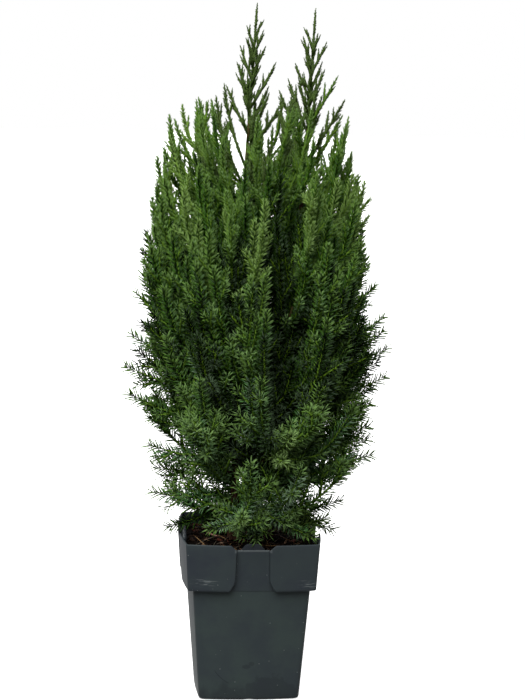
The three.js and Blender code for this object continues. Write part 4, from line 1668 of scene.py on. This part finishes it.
def unit(vectors):
    """The directions of vectors."""
    return vectors / np.linalg.norm(vectors, axis=1, keepdims=True)


def twig_kinds(twigs):
    """The finishes of each twig's old and young wood: the first where it is bare, or else by its tints."""
    return [(0, 0) if twig.bare == 1 else (1 + twig.tints[0], 1 + twig.tints[1]) for twig in twigs]


def tubes(twigs, sides, kinds):
    """Slim closed tubes along twigs, from a cap at the foot to a point at the tip, each of two kinds."""
    feet, bends, tips, _ = twig_arrays(twigs)
    radii = np.array([twig.radii for twig in twigs])
    count = len(twigs)
    shape = []
    for ring in range(TUBE_RINGS):
        share = np.full(count, ring / TUBE_RINGS)
        middle, _, across, behind = along_arrays(feet, bends, tips, share)
        radius = mix(radii[:, 0], radii[:, 1], ring / TUBE_RINGS)[:, None]
        for side in range(sides):
            turn = 2 * math.pi * side / sides
            shape.append(middle + (across * math.cos(turn) + behind * math.sin(turn)) * radius)
    shape.append(tips)
    points = np.stack(shape, axis=1)
    faces = [(0, side + 1, side + 2) for side in range(sides - 2)]
    # The cap and the first ring of faces are of the old kind, and the rest of the young one
    old_faces = len(faces) + 2 * sides
    for ring in range(TUBE_RINGS - 1):
        for side in range(sides):
            a, b = ring * sides + side, ring * sides + (side + 1) % sides
            faces += [(a, a + sides, b), (b, a + sides, b + sides)]
    last = (TUBE_RINGS - 1) * sides
    faces += [(last + side, TUBE_RINGS * sides, last + (side + 1) % sides) for side in range(sides)]
    triangles = np.array(faces)[None] + points.shape[1] * np.arange(count)[:, None, None]
    old, young = np.array(kinds).T
    face_kinds = np.where(np.arange(len(faces)) < old_faces, old[:, None], young[:, None])
    return points.reshape(-1, 3), triangles.reshape(-1, 3), face_kinds.ravel()


def whorl_places(whorls):
    """The twig, the whorl on it and the place in the whorl of every needle, for the whorls of each twig."""
    index = np.repeat(np.arange(len(whorls)), whorls)
    step = np.arange(len(index)) - np.repeat(np.cumsum(whorls) - whorls, whorls)
    member = np.tile(np.arange(WHORL), len(index))
    return np.repeat(index, WHORL), np.repeat(step, WHORL), member


def needle_points(foot, direction, inner, length, width):
    """The foot, the left and right points and the tip of every needle."""
    aside = np.cross(direction, inner)
    left = foot + direction * (NEEDLE_LEFT * length) + inner * width + aside * (width / 2)
    right = foot + direction * (NEEDLE_RIGHT * length) + inner * width - aside * (width / 2)
    tip = foot + direction * length + inner * (NEEDLE_CURL * length)
    return np.stack([foot, left, right, tip], axis=1)


def needles(twigs, settings, random):
    """Whorls of needles along twigs. A needle is a spindle of four triangles between its foot, a point on the
    left near the foot, one on the right near the tip, and its tip."""
    twigs = [twig for twig in twigs if twig.bare < 1]
    feet, bends, tips, lengths = twig_arrays(twigs)
    bare = np.array([twig.bare for twig in twigs])
    tints = np.array([twig.tints for twig in twigs])
    ranks = np.array([twig.rank for twig in twigs])
    slim = np.clip(((feet + tips)[:, 2] / 2 - WIDE_BELOW) / (SLIM_ABOVE - WIDE_BELOW), 0, 1)
    spacing = mix(settings.wide_spacing, settings.slim_spacing, slim)
    spacing = spacing * np.where(ranks == SHOOT, mix(SHOOT_SPACING, 1, slim), SIDE_SPACING)
    whorls = np.maximum(WHORL_LEAST, np.ceil(lengths * (1 - bare) / spacing)).astype(int)

    # From here on there is one entry for each needle
    index, step, member = whorl_places(whorls)
    count = len(index)
    slim, reach, ranks = slim[index], lengths[index], ranks[index]

    share = np.minimum(bare[index] + (1 - bare[index]) * (step + WHORL_START) / whorls[index], 1)
    foot, tangent, across, behind = along_arrays(feet[index], bends[index], tips[index], share)
    turn = index * TWIG_TURN + step * WHORL_TURN + member * 2 * math.pi / WHORL
    turn = turn + random.normal(0, TURN_SPREAD, count)
    outward = across * np.cos(turn)[:, None] + behind * np.sin(turn)[:, None]
    near_tip = np.clip(1 - (1 - share) * reach / CLOSING_LENGTH, 0, 1) ** CLOSING_CURVE
    near_tip = np.where(ranks == STEM, 0, near_tip)
    opening = mix(settings.wide_angle, settings.slim_angle, slim) * (1 - mix(*CLOSED_ANGLE, slim) * near_tip)
    opening = (opening + random.normal(0, ANGLE_SPREAD, count))[:, None]
    direction = tangent * np.cos(opening) + outward * np.sin(opening)
    inner = tangent * np.sin(opening) - outward * np.cos(opening)
    length = mix(settings.wide_length, settings.slim_length, slim)
    length = length * (1 - mix(*CLOSED_LENGTH, slim) * near_tip) * random.uniform(*UNEVEN_NEEDLE, count)
    length = np.minimum(length, NEEDLE_LEAST + NEEDLE_PER_TWIG * reach)[:, None]
    stoutness = mix(1, SLIM_WIDTH, slim) * random.uniform(*UNEVEN, count)
    stoutness = stoutness * np.where(ranks == SHOOT, mix(SHOOT_WIDTH, 1, slim), 1)
    width = settings.width * (stoutness * (1 - CLOSED_WIDTH * slim * near_tip))[:, None]
    points = needle_points(foot, direction, inner, length, width)

    triangles = np.array(NEEDLE_FACES)[None] + points.shape[1] * np.arange(count)[:, None, None]
    young = (1 - share) * reach < YOUNG_LENGTH * random.uniform(*UNEVEN_YOUNG, count)
    tint = np.where(young, tints[index, 1], tints[index, 0])
    kinds = 2 * tint[:, None] + np.array(NEEDLE_INNER)
    return points.reshape(-1, 3), triangles.reshape(-1, 3), kinds.ravel()


def needle_finishes(settings):
    """Two plain finishes for each tint: the outer face of a needle and its waxy inner face."""
    finishes = []
    for name, tint in TINTS.items():
        outer = Vector(getattr(settings, name))
        inner = outer.lerp(Vector(settings.bloom), settings.bloom_share * tint.bloom)
        for face, paint in (("outer", outer), ("inner", inner)):
            finishes.append(shared_finish(f"needle_{name}_{face}", paint, roughness=0.55, specular=0))
    return finishes


def twig_finishes(settings):
    """Plain finishes for bare brown wood and for the green axis of a shoot of each tint."""
    green = Vector(settings.green_twig)
    paints = {"brown": settings.brown_twig}
    for name, tint in TINTS.items():
        paints[name] = green.lerp(Vector(getattr(settings, name)), tint.twig)
    return [
        shared_finish(f"twig_{name}", paint, roughness=0.7, specular=0) for name, paint in paints.items()
    ]


class JUNIPER_OT_foliage(bpy.types.Operator):
    """Grow the shoots, twigs and needles of one tier on from its boughs"""
    bl_idname = "juniper.grow_foliage"
    bl_label = "Foliage"
    tier: bpy.props.EnumProperty(
        name="Tier", description="Which tier of plumes",
        items=TIER_ITEMS + [("spires", "Spires", "The two leaders' tips")])

    def execute(self, context):
        settings = context.scene.juniper_foliage
        growth = GROWTH[self.tier]
        grown = plumes(self.tier)
        twigs = [twig for plume in grown for twig in grow_plume(plume, growth)]
        laid, draw = lay_out_shoots()
        for shoot, span in laid.get(self.tier, ()):
            twigs.append(shoot)
            twigs += grow_twigs(shoot, span, FIRST_TWIG, draw)
        random = np.random.default_rng(growth.seed)
        needle_shapes = needles(twigs, settings, random)
        green = array_piece(f"needles_{self.tier}", *needle_shapes, needle_finishes(settings))
        hand_over(green, "foliage", *(f"foliage_{plume.label}" for plume in grown))
        tube_shapes = tubes(twigs, TWIG_SIDES, twig_kinds(twigs))
        stems = array_piece(f"twigs_{self.tier}", *tube_shapes, twig_finishes(settings))
        hand_over(stems, "foliage")
        return {"FINISHED"}


# Stage

def set_sky(strength):
    """White light, stronger from above. The camera sees it as pure white, and reflections nearly so."""
    world = bpy.data.worlds.new("studio_sky")
    world.use_nodes = True
    tree = world.node_tree
    upward = axes(tree, tree.nodes.new("ShaderNodeTexCoord").outputs["Generated"])["Z"]
    above = between(tree, upward, *SKY_EDGE)
    level = maths(tree, "MULTIPLY_ADD", above, SKY_GAIN * strength, SKY_LEAST * strength)
    rays = tree.nodes.new("ShaderNodeLightPath").outputs
    sheen = maths(tree, "MULTIPLY", rays["Is Glossy Ray"], SHEEN)
    level = greatest(tree, level, sheen, rays["Is Camera Ray"])
    feed(tree, tree.nodes["Background"].inputs["Strength"], level)
    tree.nodes["Background"].inputs["Color"].default_value = (1, 1, 1, 1)
    bpy.context.scene.world = world


def add_sun(name, strength, tilt, turn):
    """A soft sun, tilted from straight down and turned from the front, in degrees."""
    light = bpy.data.lights.new(name, "SUN")
    light.energy = strength
    light.angle = math.radians(SUN_SPREAD)
    lamp = bpy.data.objects.new(name, light)
    lamp.rotation_euler = (math.radians(tilt), 0, math.radians(turn))
    bpy.context.scene.collection.objects.link(lamp)


def set_camera(settings):
    """The camera, turned from the front, raised and a little rolled."""
    azimuth, elevation, roll = settings.azimuth, settings.elevation, settings.roll
    back = Vector((
        math.sin(azimuth) * math.cos(elevation),
        -math.cos(azimuth) * math.cos(elevation),
        math.sin(elevation),
    ))
    right = Vector((math.cos(azimuth), math.sin(azimuth), 0))
    up = back.cross(right)
    rolled_right = right * math.cos(roll) - up * math.sin(roll)
    rolled_up = right * math.sin(roll) + up * math.cos(roll)
    lens = bpy.data.cameras.new("camera")
    lens.lens = settings.focal_length
    lens.sensor_width = SENSOR_WIDTH
    camera = bpy.data.objects.new("camera", lens)
    target = Vector((0, 0, PICTURE_HEIGHT)) + right * PICTURE_SHIFT
    turned = Matrix((rolled_right, rolled_up, back)).transposed().to_4x4()
    camera.matrix_world = Matrix.Translation(target + back * settings.distance) @ turned
    bpy.context.scene.collection.objects.link(camera)
    bpy.context.scene.camera = camera


class JUNIPER_OT_stage(bpy.types.Operator):
    """Set up the pale floor, the soft light and the camera"""
    bl_idname = "juniper.set_stage"
    bl_label = "Stage"

    def execute(self, context):
        settings = context.scene.juniper_stage
        bpy.ops.object.select_all(action="DESELECT")
        bpy.ops.mesh.primitive_circle_add(
            vertices=FLOOR_SIDES, radius=settings.floor_radius, fill_type="NGON",
            location=(0, 0, POT_LOW.z - FLOOR_DROP))
        floor = context.object
        floor.name = "floor"
        pale = plain_finish("pale_floor", settings.floor_colour, roughness=0.9, specular=0.1)
        shader = pale.node_tree.nodes["Principled BSDF"]
        shader.inputs["Emission Color"].default_value = (1, 1, 1, 1)
        shader.inputs["Emission Strength"].default_value = settings.floor_glow
        floor.data.materials.append(pale)
        floor.visible_diffuse = False
        floor.visible_glossy = False
        floor.visible_shadow = False
        floor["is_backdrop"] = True
        set_sky(settings.sky_strength)
        add_sun("key", settings.key_strength, *KEY_SUN)
        add_sun("fill", settings.fill_strength, *FILL_SUN)
        context.scene.view_settings.view_transform = "Standard"
        set_camera(settings)
        return {"FINISHED"}


class JUNIPER_PT_panel(bpy.types.Panel):
    """Lists what the add-on makes"""
    bl_idname = "JUNIPER_PT_panel"
    bl_label = "Potted Juniper"
    bl_space_type = "VIEW_3D"
    bl_region_type = "UI"
    bl_category = "Juniper"

    def draw(self, context):
        column = self.layout.column()
        for operator in (JUNIPER_OT_pot, JUNIPER_OT_soil, JUNIPER_OT_trunk, JUNIPER_OT_stage):
            column.operator(operator.bl_idname)
        for name in TIERS:
            column.operator(JUNIPER_OT_boughs.bl_idname, text=f"Boughs, {name}").tier = name
        for name in (*TIERS, "spires"):
            column.operator(JUNIPER_OT_foliage.bl_idname, text=f"Foliage, {name}").tier = name


SETTINGS = {
    "juniper_pot": JuniperPotSettings,
    "juniper_soil": JuniperSoilSettings,
    "juniper_bark": JuniperBarkSettings,
    "juniper_foliage": JuniperFoliageSettings,
    "juniper_stage": JuniperStageSettings,
}
CLASSES = (
    *SETTINGS.values(), JUNIPER_OT_pot, JUNIPER_OT_soil, JUNIPER_OT_trunk, JUNIPER_OT_boughs,
    JUNIPER_OT_foliage, JUNIPER_OT_stage, JUNIPER_PT_panel,
)


def register():
    for cls in CLASSES:
        bpy.utils.register_class(cls)
    for name, group in SETTINGS.items():
        setattr(bpy.types.Scene, name, bpy.props.PointerProperty(type=group))


def unregister():
    for name in SETTINGS:
        delattr(bpy.types.Scene, name)
    for cls in reversed(CLASSES):
        bpy.utils.unregister_class(cls)


def main():
    register()
    bpy.ops.juniper.make_pot()
    bpy.ops.juniper.fill_soil()
    bpy.ops.juniper.grow_trunk()
    for name in TIERS:
        bpy.ops.juniper.grow_boughs(tier=name)
    for name in (*TIERS, "spires"):
        bpy.ops.juniper.grow_foliage(tier=name)
    bpy.ops.juniper.set_stage()
    boxes = {"cad": CAD_BOX, "visual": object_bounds()}
    {name: [list(corner) for corner in box] for name, box in boxes.items()}


if __name__ == "__main__":
    main()
